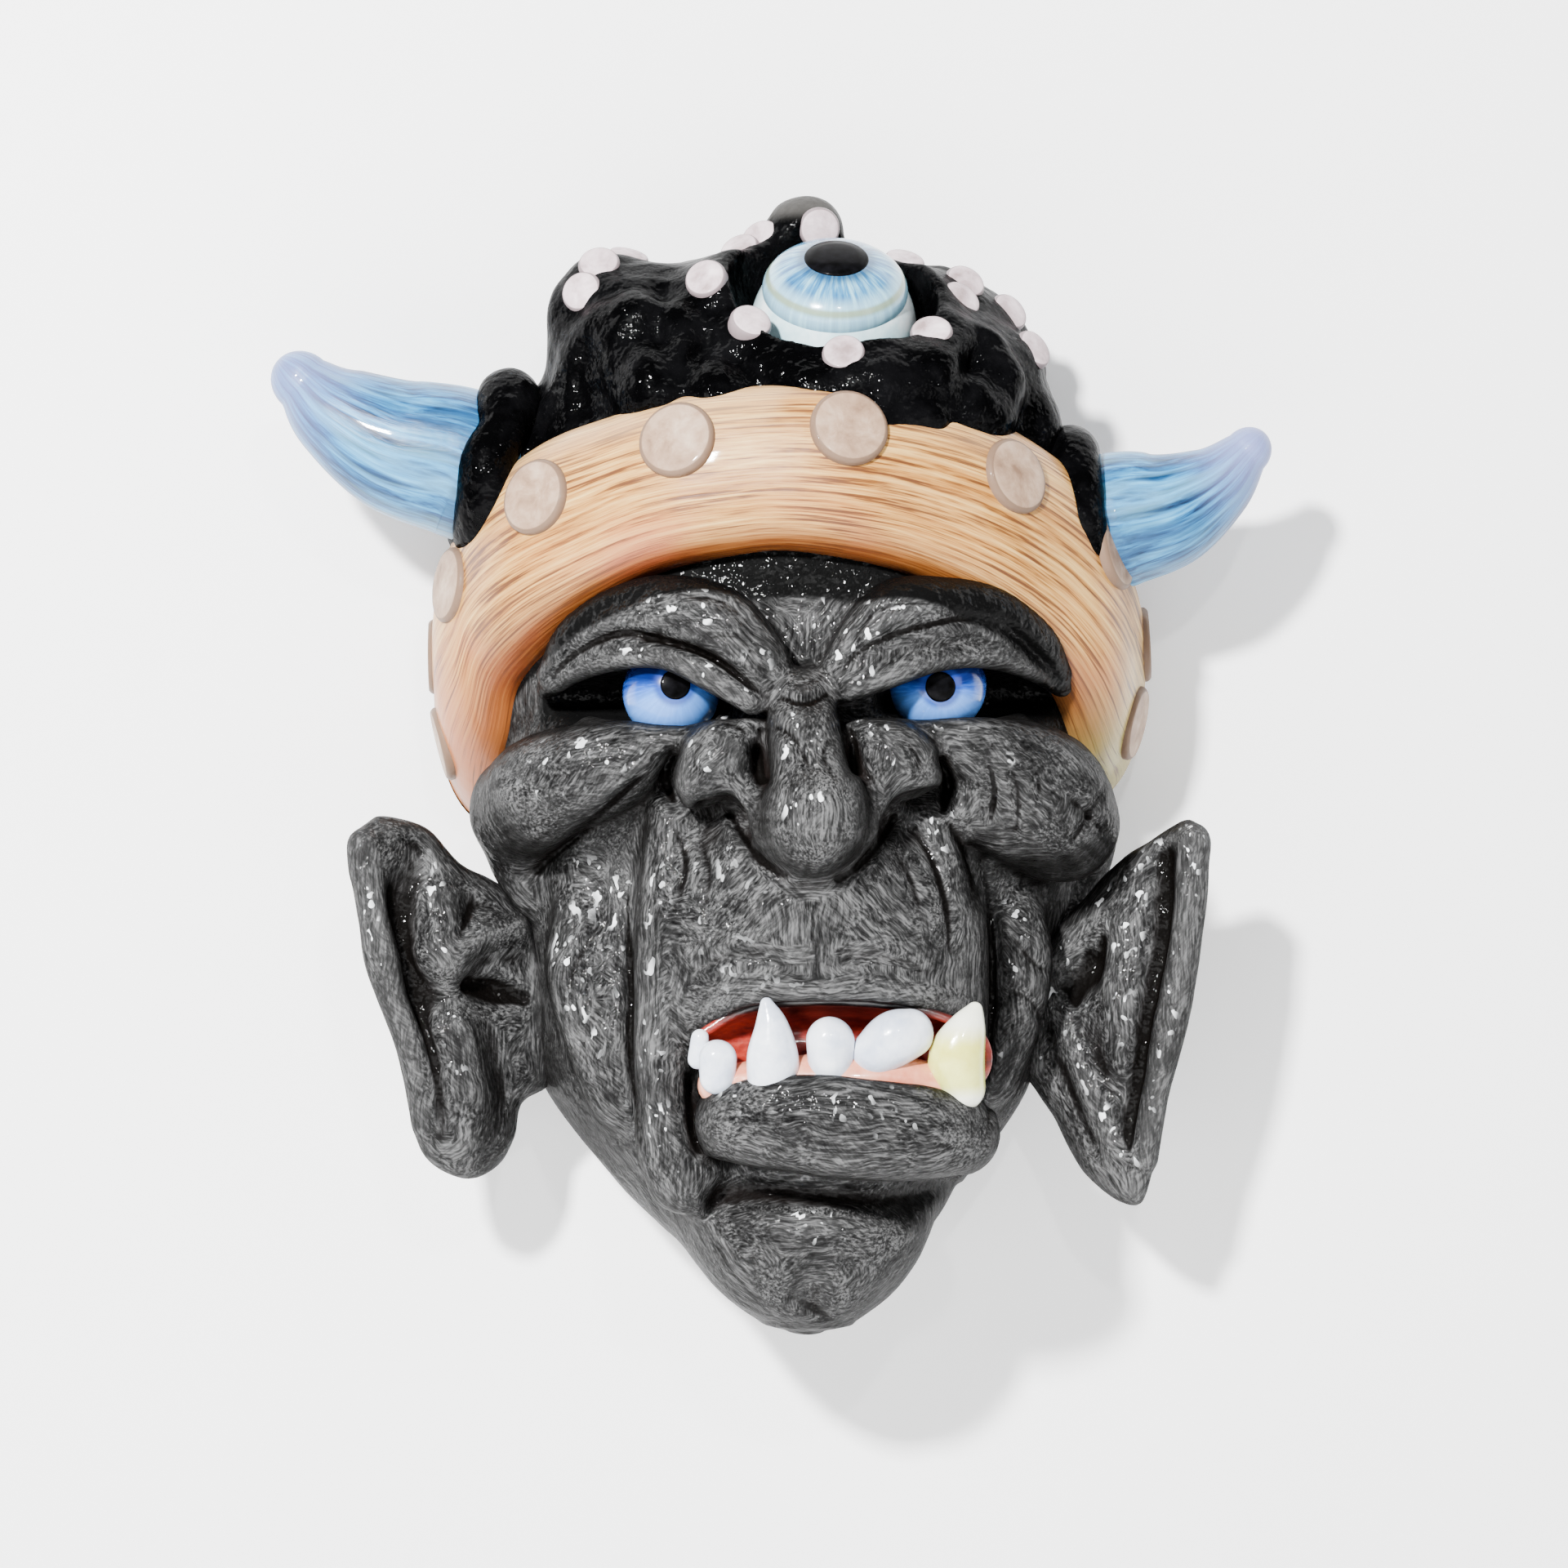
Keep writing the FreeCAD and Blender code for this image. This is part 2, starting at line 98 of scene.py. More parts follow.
# ---------------------------------------------------------------- clay
class Clay:
    """A block of clay on a grid of signed distances in millimetres. Inside is negative."""

    def __init__(self, low, high, step):
        self.low, self.step = np.array(low, float), step
        self.size = np.ceil((np.array(high) - self.low) / step).astype(int) + 1
        self.field = np.full(self.size, 40.0, np.float32)

    def window(self, low, high):
        """The part of the grid between two corners: its slices, and its x, y and z."""
        a = np.clip(np.floor((np.array(low) - self.low) / self.step).astype(int), 0, self.size - 1)
        b = np.clip(np.ceil((np.array(high) - self.low) / self.step).astype(int) + 1, 1, self.size)
        b = np.maximum(b, a + 1)
        cut = tuple(slice(i, j) for i, j in zip(a, b))
        axes = [(self.low[i] + self.step * np.arange(a[i], b[i])).astype(np.float32) for i in range(3)]
        return cut, np.ix_(*axes)

    def everywhere(self):
        """The x, y and z of the whole grid."""
        return self.window((-FAR,) * 3, (FAR,) * 3)[1]

    def blend(self, cut, distance, k, carve=False):
        """Adds a form to a window of the field, or carves it out."""
        old = self.field[cut]
        if carve:
            self.field[cut] = smooth_max(old, -distance, k)
        else:
            self.field[cut] = smooth_min(old, distance, k)

    def ball(self, centre, radii, k=4.0, carve=False):
        """An ellipsoid, added or carved."""
        centre, radii = np.array(centre, float), np.array(radii, float) * np.ones(3)
        reach = radii.max() + k + 3
        cut, (x, y, z) = self.window(centre - reach, centre + reach)
        p = [x - centre[0], y - centre[1], z - centre[2]]
        k0 = np.sqrt(sum((p[i] / radii[i]) ** 2 for i in range(3)))
        k1 = np.sqrt(sum((p[i] / radii[i] ** 2) ** 2 for i in range(3)))
        self.blend(cut, k0 * (k0 - 1) / np.maximum(k1, 1e-6), k, carve)

    def rope(self, points, k=4.0, carve=False, flat=1.0, per_span=5):
        """A thick line through points (x, y, z, radius). flat above 1 thins it from front to back."""
        run = spline(points, per_span)
        reach = run[:, 3].max() + k + 3
        cut, (x, y, z) = self.window(run[:, :3].min(0) - reach, run[:, :3].max(0) + reach)
        best = None
        for (ax, ay, az, ar), (bx, by, bz, br) in zip(run[:-1], run[1:]):
            dx, dy, dz = bx - ax, (by - ay) * flat, bz - az
            long = max(dx * dx + dy * dy + dz * dz, 1e-6)
            px, py, pz = x - ax, (y - ay) * flat, z - az
            t = np.clip((px * dx + py * dy + pz * dz) / long, 0, 1)
            d = np.sqrt((px - t * dx) ** 2 + (py - t * dy) ** 2 + (pz - t * dz) ** 2)
            d = d - (ar + t * (br - ar))
            best = d if best is None else np.minimum(best, d)
        self.blend(cut, best, k, carve)

    def crease(self, points, width, depth, front=-8.0):
        """A groove drawn on the front through points (x, z), or a ridge if its depth is negative."""
        run = spline(points, 5)
        reach = width * 2.4
        low = (run[:, 0].min() - reach, -FAR, run[:, 1].min() - reach)
        high = (run[:, 0].max() + reach, front + 6, run[:, 1].max() + reach)
        cut, (x, y, z) = self.window(low, high)
        x, z = x[:, :, 0], z[:, 0, :]
        best, along = np.full(np.broadcast(x, z).shape, 1e9), np.zeros(np.broadcast(x, z).shape)
        last = len(run) - 1
        for i in range(last):
            (ax, az), (bx, bz) = run[i, :2], run[i + 1, :2]
            dx, dz = bx - ax, bz - az
            t = np.clip(((x - ax) * dx + (z - az) * dz) / max(dx * dx + dz * dz, 1e-6), 0, 1)
            d = (x - ax - t * dx) ** 2 + (z - az - t * dz) ** 2
            near = d < best
            best, along = np.where(near, d, best), np.where(near, (i + t) / last, along)
        mark = depth * np.exp(-best / width ** 2) * np.sqrt(np.clip(4 * along * (1 - along), 0, 1))
        facing = 1 - smoothstep(front - 4, front + 4, y)
        self.field[cut] += (mark[:, None, :] * facing).astype(np.float32)

    def push(self, centre, radii, amount):
        """A soft dent, or a soft swelling if the amount is negative."""
        centre, radii = np.array(centre, float), np.array(radii, float) * np.ones(3)
        cut, (x, y, z) = self.window(centre - 2.4 * radii, centre + 2.4 * radii)
        d = ((x - centre[0]) / radii[0]) ** 2 + ((y - centre[1]) / radii[1]) ** 2
        d = d + ((z - centre[2]) / radii[2]) ** 2
        self.field[cut] += (amount * np.exp(-d)).astype(np.float32)

    def roughen(self, seed, scale, amount):
        """Smooth random lumps of a given size, in millimetres, all over."""
        rng = np.random.default_rng(seed)
        knots = np.ceil(self.size * self.step / scale).astype(int) + 4
        lattice = rng.uniform(-1, 1, knots).astype(np.float32)
        for axis in range(3):
            at = np.arange(self.size[axis]) * self.step / scale
            base = np.floor(at).astype(int)
            t = at - base
            weights = np.zeros((self.size[axis], knots[axis]), np.float32)
            rows = np.arange(self.size[axis])
            for j, w in enumerate((
                (1 - t) ** 3 / 6, (3 * t ** 3 - 6 * t ** 2 + 4) / 6,
                (-3 * t ** 3 + 3 * t ** 2 + 3 * t + 1) / 6, t ** 3 / 6,
            )):
                weights[rows, base + j] = w
            lattice = np.moveaxis(np.tensordot(weights, lattice, axes=(1, axis)), 0, axis)
        self.field += lattice * (2.2 * amount)

    def sample(self, points, field=None):
        """A field's values at points, by trilinear interpolation."""
        field = self.field if field is None else field
        at = np.clip((points - self.low) / self.step, 0, self.size - 1.001)
        base = at.astype(int)
        t = at - base
        value = 0
        for corner, weight in cell_corners(t):
            value = value + weight * field[tuple((base + corner).T)]
        return value

    def slope(self, points, field=None):
        """A field's gradient at points."""
        out = np.zeros_like(points)
        for i in range(3):
            nudge = np.zeros(3)
            nudge[i] = self.step * 0.7
            rise = self.sample(points + nudge, field) - self.sample(points - nudge, field)
            out[:, i] = rise / (2 * nudge[i])
        return out

    def blurred(self, radius):
        """The field averaged over a box of about this radius in millimetres."""
        n = max(1, int(round(radius / self.step)))
        out = self.field.astype(np.float32)
        for axis in range(3):
            pad = [(0, 0)] * 3
            pad[axis] = (n + 1, n)
            total = np.cumsum(np.pad(out, pad, mode="edge"), axis=axis, dtype=np.float64)
            high = np.take(total, range(2 * n + 1, total.shape[axis]), axis=axis)
            low = np.take(total, range(0, total.shape[axis] - 2 * n - 1), axis=axis)
            out = ((high - low) / (2 * n + 1)).astype(np.float32)
        return out

    def surface(self):
        """Vertices and quads of the zero level, by surface nets."""
        f = self.field
        inside = f < 0
        m = tuple(n - 1 for n in f.shape)
        total = np.zeros(m, np.uint8)
        for i, j, k in CORNERS:
            total += inside[i : i + m[0], j : j + m[1], k : k + m[2]]
        cells = np.argwhere((total > 0) & (total < 8))
        index = np.full(m, -1, np.int64)
        index[tuple(cells.T)] = np.arange(len(cells))
        values = {c: f[tuple((cells + c).T)] for c in CORNERS}
        points, count = np.zeros((len(cells), 3)), np.zeros(len(cells))
        for c in CORNERS:
            for axis in range(3):
                if c[axis]:
                    continue
                d = tuple(v + (n == axis) for n, v in enumerate(c))
                a, b = values[c], values[d]
                crosses = (a < 0) != (b < 0)
                t = np.where(crosses, a / np.where(crosses, a - b, 1), 0)
                spot = np.array(c, float) + t[:, None] * (np.arange(3) == axis)
                points += np.where(crosses[:, None], spot, 0)
                count += crosses
        points = (cells + points / count[:, None]) * self.step + self.low
        quads = []
        for axis in range(3):
            u, v = (axis + 1) % 3, (axis + 2) % 3
            ahead = [slice(None)] * 3
            behind = [slice(None)] * 3
            ahead[axis], behind[axis] = slice(1, None), slice(None, -1)
            a, b = inside[tuple(behind)], inside[tuple(ahead)]
            edge = np.argwhere(a != b)
            ok = (edge[:, u] > 0) & (edge[:, v] > 0) & (edge[:, u] < m[u]) & (edge[:, v] < m[v])
            edge = edge[ok]
            du, dv = np.eye(3, dtype=int)[u], np.eye(3, dtype=int)[v]
            ring = [index[tuple((edge - s).T)] for s in (du + dv, dv, 0 * du, du)]
            ring = np.stack(ring, 1)
            outward = a[tuple(edge.T)]
            ring[~outward] = ring[~outward][:, ::-1]
            quads.append(ring)
        for _ in range(2):
            slope = self.slope(points)
            length = np.maximum((slope ** 2).sum(1), 0.05)
            step = self.sample(points)[:, None] * slope / length[:, None]
            points -= np.clip(step, -0.5 * self.step, 0.5 * self.step)
        return points, np.vstack(quads)


# ---------------------------------------------------------------- the bare head
# Level sections: height, half width, half depth, middle x, middle y, as in the frame's shells.
HEAD_SECTIONS = [
    (-246, 4, 4, 0, -52), (-243, 11, 10, 0, -50), (-229, 29, 29, -1, -38), (-205, 52, 50, -4, -24),
    (-175, 74, 66, -5, -14), (-140, 80, 72, -4, -10), (-105, 88, 75, -3, -8), (-70, 92, 78, -3, -8),
    (-35, 93, 80, -3, -8), (0, 88, 78, -3, -8), (30, 77, 72, -2, -10), (52, 66, 60, -1, -14),
    (66, 46, 42, -2, -22), (72, 20, 18, 0, -28),
]
HEAD_RUN = spline(HEAD_SECTIONS, 8)
WALL, LEAST_WALL = 6.0, 4.5
JOINT_SLOPE = 0.8


def head_at(z):
    """Half width, half depth, middle x and middle y of the head at heights z."""
    return [np.interp(z, HEAD_RUN[:, 0], HEAD_RUN[:, i]) for i in (1, 2, 3, 4)]


def front(x, z):
    """How far forward the bare head's front is at (x, z)."""
    wide, deep, mid_x, mid_y = head_at(z)
    return mid_y - deep * math.sqrt(max(0.02, 1 - ((x - mid_x) / wide) ** 2))


def head_distance(x, y, z, grow=0.0):
    """Signed distance, near enough, to the bare head grown by some millimetres."""
    wide, deep, mid_x, mid_y = head_at(z)
    wide, deep = np.maximum(wide + grow, 1.5), np.maximum(deep + grow, 1.5)
    qx, qy = (x - mid_x) / wide, (y - mid_y) / deep
    k0 = np.sqrt(qx * qx + qy * qy) + 1e-6
    k1 = np.sqrt((qx / wide) ** 2 + (qy / deep) ** 2) + 1e-6
    slope_x, slope_y = np.gradient(wide, axis=2), np.gradient(deep, axis=2)
    rise = z[0, 0, 1] - z[0, 0, 0]
    lean = (slope_x * qx * qx + slope_y * qy * qy) / (rise * k0 * k0)
    d = k0 * (k0 - 1) / k1 / np.sqrt(1 + lean * lean)
    d = np.maximum(d, (z - (HEAD_RUN[-1, 0] + grow)) * 0.9)
    return np.maximum(d, (HEAD_RUN[0, 0] - grow - z) * 0.9).astype(np.float32)


def hollow_out(clay, keep):
    """Hollows a shell, open at the wall, and keeps it below (1) or above (-1) the joint."""
    x, y, z = clay.everywhere()
    hollow = np.maximum(head_distance(x, y, z, -WALL), clay.field + LEAST_WALL)
    field = smooth_max(clay.field, -hollow, 1.5)
    field = np.maximum(field, y.astype(np.float32))
    clay.field = np.maximum(field, keep * joint_plane(y, z).astype(np.float32))


def joint_plane(y, z):
    """Distance above the sloping joint between face and cap."""
    return (z - 4 + JOINT_SLOPE * (y + 95)) / math.hypot(1, JOINT_SLOPE)


def at_front(points):
    """Turns points (x, z, out, radius) into (x, y, z, radius), out millimetres before the bare head."""
    return [(x, front(x, z) - out, z, r) for x, z, out, r in points]


# ---------------------------------------------------------------- the face
EYES = {"left": (-38.4, -78.0, -60.0), "right": (38.2, -78.0, -58.0)}
EYE_RADIUS = 14.0
MOUTH_LINE = [(-25, -98, -161, 6), (-13, -99, -159, 10), (6, -99, -158.5, 11), (26, -98, -160, 11),
              (42, -93, -164, 10)]
MOUTH_FLAT = 0.6

# Creases drawn on the face: points (x, z), width and depth. A negative depth is a ridge.
WRINKLES = [
    ([(-74, -57), (-66, -49), (-52, -43.5), (-39, -46), (-27, -50.5), (-17, -58), (-11, -63)], 1.5, 2.6),
    ([(9, -56), (17, -48), (33, -42), (48, -39.5), (60, -44), (69, -51), (74, -58)], 1.5, 2.6),
    ([(-70, -49), (-58, -37), (-44, -33)], 1.6, 1.2),
    ([(-50, -50), (-38, -42), (-24, -38)], 1.6, 1.1),
    ([(-34, -33), (-22, -36), (-12, -46)], 1.5, 1.2),
    ([(-30, -46), (-20, -45), (-11, -55)], 1.4, 1.2),
    ([(12, -48), (20, -38), (34, -33)], 1.5, 1.2),
    ([(22, -44), (36, -38), (50, -37)], 1.6, 1.1),
    ([(46, -34), (58, -41), (68, -52)], 1.6, 1.3),
    ([(-12.7, -70), (-13.5, -78), (-12, -87)], 2.0, 3.4),
    ([(13, -70), (14, -77), (14, -84)], 2.0, 3.0),
    ([(-8, -62), (0, -64), (7, -61)], 1.8, 2.0),
    ([(-9, -70), (-3, -74), (2, -84)], 1.4, 1.2),
    ([(9, -70), (5, -78), (8, -86)], 1.4, 1.0),
    ([(-27, -72), (-31, -79), (-29, -87)], 1.5, 1.2),
    ([(26, -72), (31, -78), (33, -86)], 1.5, 1.2),
    ([(-24, -69), (-17, -72), (-15, -80)], 1.6, 1.6),
    ([(-37, -75), (-40, -84), (-37, -93)], 2.0, 2.4),
    ([(38, -78), (41, -86), (39, -96)], 2.0, 2.4),
    ([(-43.5, -79), (-52, -86), (-62, -95)], 1.6, -1.5),
    ([(-46, -84), (-58, -94), (-70, -104), (-80, -113)], 1.9, 2.0),
    ([(-86, -80), (-74, -84), (-62, -84)], 1.8, 0.9),
    ([(52, -80), (54, -88), (53, -98)], 1.4, 1.6),
    ([(59, -82), (61, -92), (60, -101)], 1.4, 1.3),
    ([(66, -84), (68, -93)], 1.3, 0.9),
    ([(75, -90), (81, -95), (87, -101)], 1.3, 1.6),
    ([(86, -89), (81, -96), (77, -103)], 1.3, 1.5),
    ([(46, -75), (56, -76), (70, -77)], 1.4, 0.9),
    ([(-22, -93), (-18, -101), (-12, -108), (-4, -113)], 1.7, 2.0),
    ([(26, -94), (22, -102), (15, -109), (8, -114)], 1.7, 2.0),
    ([(-38, -98), (-34, -108), (-36, -120)], 1.6, 1.2),
    ([(-30, -102), (-27, -112), (-29, -124)], 1.5, 0.8),
    ([(30, -98), (36, -108), (40, -122), (41, -136)], 1.6, 1.6),
    ([(24, -104), (30, -114), (34, -128)], 1.5, 1.0),
    ([(40, -96), (46, -108), (49, -122)], 1.6, 1.6),
    ([(-49, -104), (-51, -124), (-50, -146), (-50, -168), (-46, -190)], 2.0, 2.4),
    ([(51, -106), (54, -126), (55, -148), (53, -170)], 2.0, 2.4),
    ([(-30, -140), (-22, -135), (-10, -134)], 1.8, 0.9),
    ([(10, -134), (26, -136), (38, -142)], 1.8, 0.9),
    ([(-34, -168), (-33, -180), (-30, -192)], 1.8, 1.8),
    ([(54, -160), (52, -174), (52, -188)], 1.6, 1.4),
    ([(-60, -128), (-66, -138), (-70, -150)], 1.6, 1.2),
    ([(-58, -150), (-64, -160), (-62, -172)], 1.6, 1.2),
    ([(60, -130), (66, -138), (72, -142)], 1.6, 1.4),
    ([(58, -146), (66, -150), (70, -158)], 1.6, 1.3),
    ([(-20, -187), (0, -190), (24, -191), (40, -190)], 1.6, 0.7),
    ([(-26, -212), (-16, -218), (-14, -228)], 1.8, 0.9),
    ([(30, -210), (24, -218), (25, -228)], 1.8, 0.9),
    ([(-6, -232), (1, -237), (8, -241)], 2.0, 1.6),
]


def sculpt_face(step):
    """The grey face, open at the back, cut off under the band where the cap begins."""
    clay = Clay((-110, -136, -256), (104, 3, 26), step)
    x, y, z = clay.everywhere()
    clay.field[:] = head_distance(x, y, z)

    # muzzle: one broad form with upright edges, from beside the nose down to the mouth
    clay.ball((2, -78, -128), (49, 27, 34), 8)
    clay.ball((3, -80, -148), (46, 22, 22), 8)
    clay.ball((2, -92, -112), (24, 16, 22), 8)
    clay.rope(at_front([(-38, -98, 2, 7), (-41, -118, 6, 8), (-42, -142, 9, 8), (-42, -162, 9.5, 8.5),
                        (-40, -182, 11, 9.5), (-35, -199, 12, 10.5)]), 9)
    clay.rope(at_front([(36, -98, 4, 7), (42, -118, 7, 8), (45, -140, 8, 8), (46, -162, 7, 8),
                        (45, -180, 6, 8)]), 9)

    # cheeks: leaf-shaped pouches that taper to a tip beside the nose
    clay.rope(at_front([(-83, -93, 3, 15.5), (-74, -89, 8, 17.5), (-62, -84, 10, 15), (-50, -79, 9, 10.5),
                        (-39, -75, 8, 5)]), 4)
    clay.rope(at_front([(-84, -98, 2, 12), (-84, -108, 0, 10), (-81, -118, -3, 8)]), 6)
    clay.rope(at_front([(30, -73, 7, 4), (42, -74, 9, 8), (55, -80, 10, 14), (68, -90, 10, 20),
                        (74, -98, 6, 18.5)]), 4)
    clay.rope(at_front([(84, -98, 0, 10), (84, -110, -2, 9), (79, -122, -4, 8)]), 6)
    clay.rope(at_front([(46, -92, 9, 5), (58, -102, 7, 7), (70, -108, 4, 8)]), 5)

    # jowls, outside the muzzle
    clay.rope(at_front([(-66, -126, -2, 7), (-66, -140, 1, 10), (-62, -158, 1, 9), (-55, -178, -3, 7)]), 8)
    clay.rope(at_front([(64, -126, -2, 8), (63, -142, 1, 10), (60, -158, 0, 9), (56, -172, -3, 7)]), 8)

    # chin, and the lower lip above its deep crease
    clay.ball((1, -58, -213), (34, 33, 28), 12)
    clay.ball((1, -52, -221), (25, 30, 21), 8)
    clay.rope([(-22, -91, -183, 10.5), (-8, -96, -182, 14.5), (12, -98, -183, 16), (31, -94.5, -184, 16),
               (43, -89, -185.5, 12.5)], 3, per_span=6)
    clay.rope([(-20, -97, -178, 7), (4, -103, -176, 8), (28, -100, -178, 7.5)], 7)
    clay.crease([(-30, -206), (-14, -204), (6, -205), (28, -206), (46, -202)], 5, 6)

    # nose: root, bridge knob, wings and ball
    clay.ball((2, -90, -88), (26, 14, 20), 8)
    clay.rope([(0, -94, -60, 7), (-0.5, -101, -67, 9.5), (0.5, -106, -77, 11), (2, -108, -88, 12)], 3)
    clay.rope([(-15, -97, -74, 6), (-24, -97, -79, 10.5), (-29, -94, -85, 9)], 3)
    clay.rope([(16, -97, -74, 6), (25, -97, -79, 10.5), (31, -94, -84, 9)], 3)
    clay.ball((3, -108, -96), (15.5, 20, 17), 4)
    clay.rope([(-17, -101, -88, 4), (-12, -105, -98, 4.5), (-4, -106, -108, 4)], 4)
    clay.rope([(22, -101, -88, 4), (18, -105, -98, 4.5), (11, -106, -108, 4)], 4)
    clay.rope([(-29, -97, -93, 2.5), (-22, -99, -94, 4), (-15, -99, -98, 3.5)], 2.5, carve=True, flat=0.5)
    clay.rope([(36, -95, -90, 3.5), (29, -98, -93, 4), (22, -99, -97, 3.5)], 2.5, carve=True, flat=0.5)

    # eye hollows, then the brows that hang over them
    clay.rope(at_front([(-71, -62, 2, 5), (-56, -62, 0, 7.5), (-38, -62, 0, 8.5), (-26, -62, 2, 6)]), 4,
              carve=True, flat=0.6)
    clay.rope(at_front([(71, -61, 2, 5), (56, -61, 0, 7.5), (38, -61, 0, 8.5), (26, -61, 2, 6)]), 4,
              carve=True, flat=0.6)
    clay.rope(at_front([(-73, -55, 6, 5), (-64, -46, 7, 8.5), (-51, -40.5, 7, 11), (-37, -39, 8, 12),
                        (-24, -42, 9, 12), (-14, -51, 9, 9.5), (-9.5, -59, 9, 6.5)]), 4)
    clay.rope(at_front([(73, -54, 6, 5), (65, -46, 7, 8.5), (52, -40, 7, 11), (38, -39, 8, 12),
                        (25, -41, 9, 12), (15, -50, 9, 9.5), (10.5, -57, 9, 6.5)]), 4)
    clay.rope(at_front([(-75, -59, 6, 3), (-66, -53.5, 10, 4), (-53, -49.5, 13, 4.6), (-39, -49.5, 14, 5),
                        (-26, -55, 15, 5.5), (-15, -62, 14, 4.5)]), 1.6)
    clay.rope(at_front([(75, -58, 6, 3), (66, -53, 10, 4), (52, -49, 13, 4.6), (38, -49.5, 14, 5),
                        (25, -53.5, 15, 5.5), (13, -58.5, 14, 4.5)]), 1.6)
    clay.rope(at_front([(-62, -70, 4, 3.5), (-50, -72.5, 8, 3.5), (-38, -73.5, 9, 3.5),
                        (-26, -71, 8, 3)]), 4)
    clay.rope(at_front([(62, -69, 4, 3.5), (50, -72, 8, 3.5), (38, -73.5, 9, 3.5), (25, -71, 8, 3)]), 4)

    # mouth: an arch over a straight lower edge
    clay.rope(MOUTH_LINE, 2, carve=True, flat=MOUTH_FLAT)

    # soft hollows
    clay.push((-58, -68, -113), (9, 22, 13), 6)
    clay.push((64, -64, -118), (14, 22, 9), 5)
    clay.push((0, -98, -34), (12, 20, 9), 2)
    clay.push((3, -86, -234), (4, 18, 6), 3)

    for run, width, depth in WRINKLES:
        clay.crease(run, width, depth)
    clay.roughen(5, 13, 0.55)
    clay.roughen(6, 5, 0.16)

    for place in EYES.values():
        clay.ball(place, EYE_RADIUS - 0.4, 0.6, carve=True)
    return clay


# The run of each tie hole through the wall, with its radius.
TIE_HOLES = [
    [(-104, -10, -122, 2.1), (-66, -10, -122, 2.1)],
    [(60, -10, -130, 2.1), (98, -10, -130, 2.1)],
]


def finish_face(clay):
    """Hollows the face and bores the holes for a tie cord."""
    hollow_out(clay, 1)
    for run in TIE_HOLES:
        clay.rope(run, 0, carve=True)


# ---------------------------------------------------------------- meshes from clay
def add_object(name, data):
    """An object for some data, linked into the scene."""
    obj = bpy.data.objects.new(name, data)
    bpy.context.scene.collection.objects.link(obj)
    return obj


def make_object(name, points, faces):
    """A mesh object from points in millimetres and faces of one length."""
    faces = np.asarray(faces)
    mesh = bpy.data.meshes.new(name)
    mesh.vertices.add(len(points))
    mesh.vertices.foreach_set("co", (np.asarray(points) * MM).astype(np.float32).ravel())
    mesh.loops.add(faces.size)
    mesh.loops.foreach_set("vertex_index", faces.astype(np.int32).ravel())
    mesh.polygons.add(len(faces))
    mesh.polygons.foreach_set("loop_start", np.arange(0, faces.size, faces.shape[1], dtype=np.int32))
    mesh.update(calc_edges=True)
    mesh.validate()
    mesh.shade_smooth()
    return add_object(name, mesh)


def paint_attribute(obj, name, values):
    """Stores one number, or three, per point on a mesh."""
    values = np.asarray(values, np.float32)
    kind, key = ("FLOAT_VECTOR", "vector") if values.ndim == 2 else ("FLOAT", "value")
    obj.data.attributes.new(name, kind, "POINT").data.foreach_set(key, values.ravel())


def unit(v):
    """Rows of a table made one long."""
    return v / np.maximum(np.linalg.norm(v, axis=1), 1e-6)[:, None]


def straighter_way(clay, points):
    """The way over each point along which the form bends least, and the surface normals."""
    soft = clay.blurred(3.0)
    normal = unit(clay.slope(points, soft))
    side = unit(np.cross(normal, (0.31, 0.2, 0.93)))
    rise = np.cross(normal, side)
    reach = 3.0
    ends = [(points + t * reach, points - t * reach) for t in (side, rise)]
    bend = [clay.slope(ahead, soft) - clay.slope(behind, soft) for ahead, behind in ends]
    a, c = (bend[0] * side).sum(1), (bend[1] * rise).sum(1)
    b = ((bend[0] * rise).sum(1) + (bend[1] * side).sum(1)) / 2
    angle = 0.5 * np.arctan2(2 * b, a - c)
    most = a * np.cos(angle) ** 2 + 2 * b * np.sin(angle) * np.cos(angle) + c * np.sin(angle) ** 2
    least = a + c - most
    angle = np.where(np.abs(least) < np.abs(most), angle + math.pi / 2, angle)
    return np.cos(angle)[:, None] * side + np.sin(angle)[:, None] * rise, normal


def brush_strokes(along, points):
    """Random streaks along a way over a surface, from -1 to 1."""
    table = np.random.default_rng(7).uniform(-1, 1, (64, 64, 64)).astype(np.float32)
    total = 0
    for scale, share in ((1.1, 1.0), (2.3, 0.6)):
        for s in np.linspace(-7, 7, 13):
            at = (points + along * s) / scale + 500
            base = np.floor(at).astype(int)
            for corner, weight in cell_corners(at - base):
                total = total + share * weight * table[tuple(((base + corner) % 64).T)]
    return np.clip(total / 3.2, -1, 1)


HATCH_WAYS = [(0, 0, 1), (1, 0, 0), (0.707, 0, 0.707), (0.707, 0, -0.707)]
# The way the painted white glints on the skin face: they are set by how the surface faces.
GLEAM_WAY = (-0.22, -0.9, 0.37)


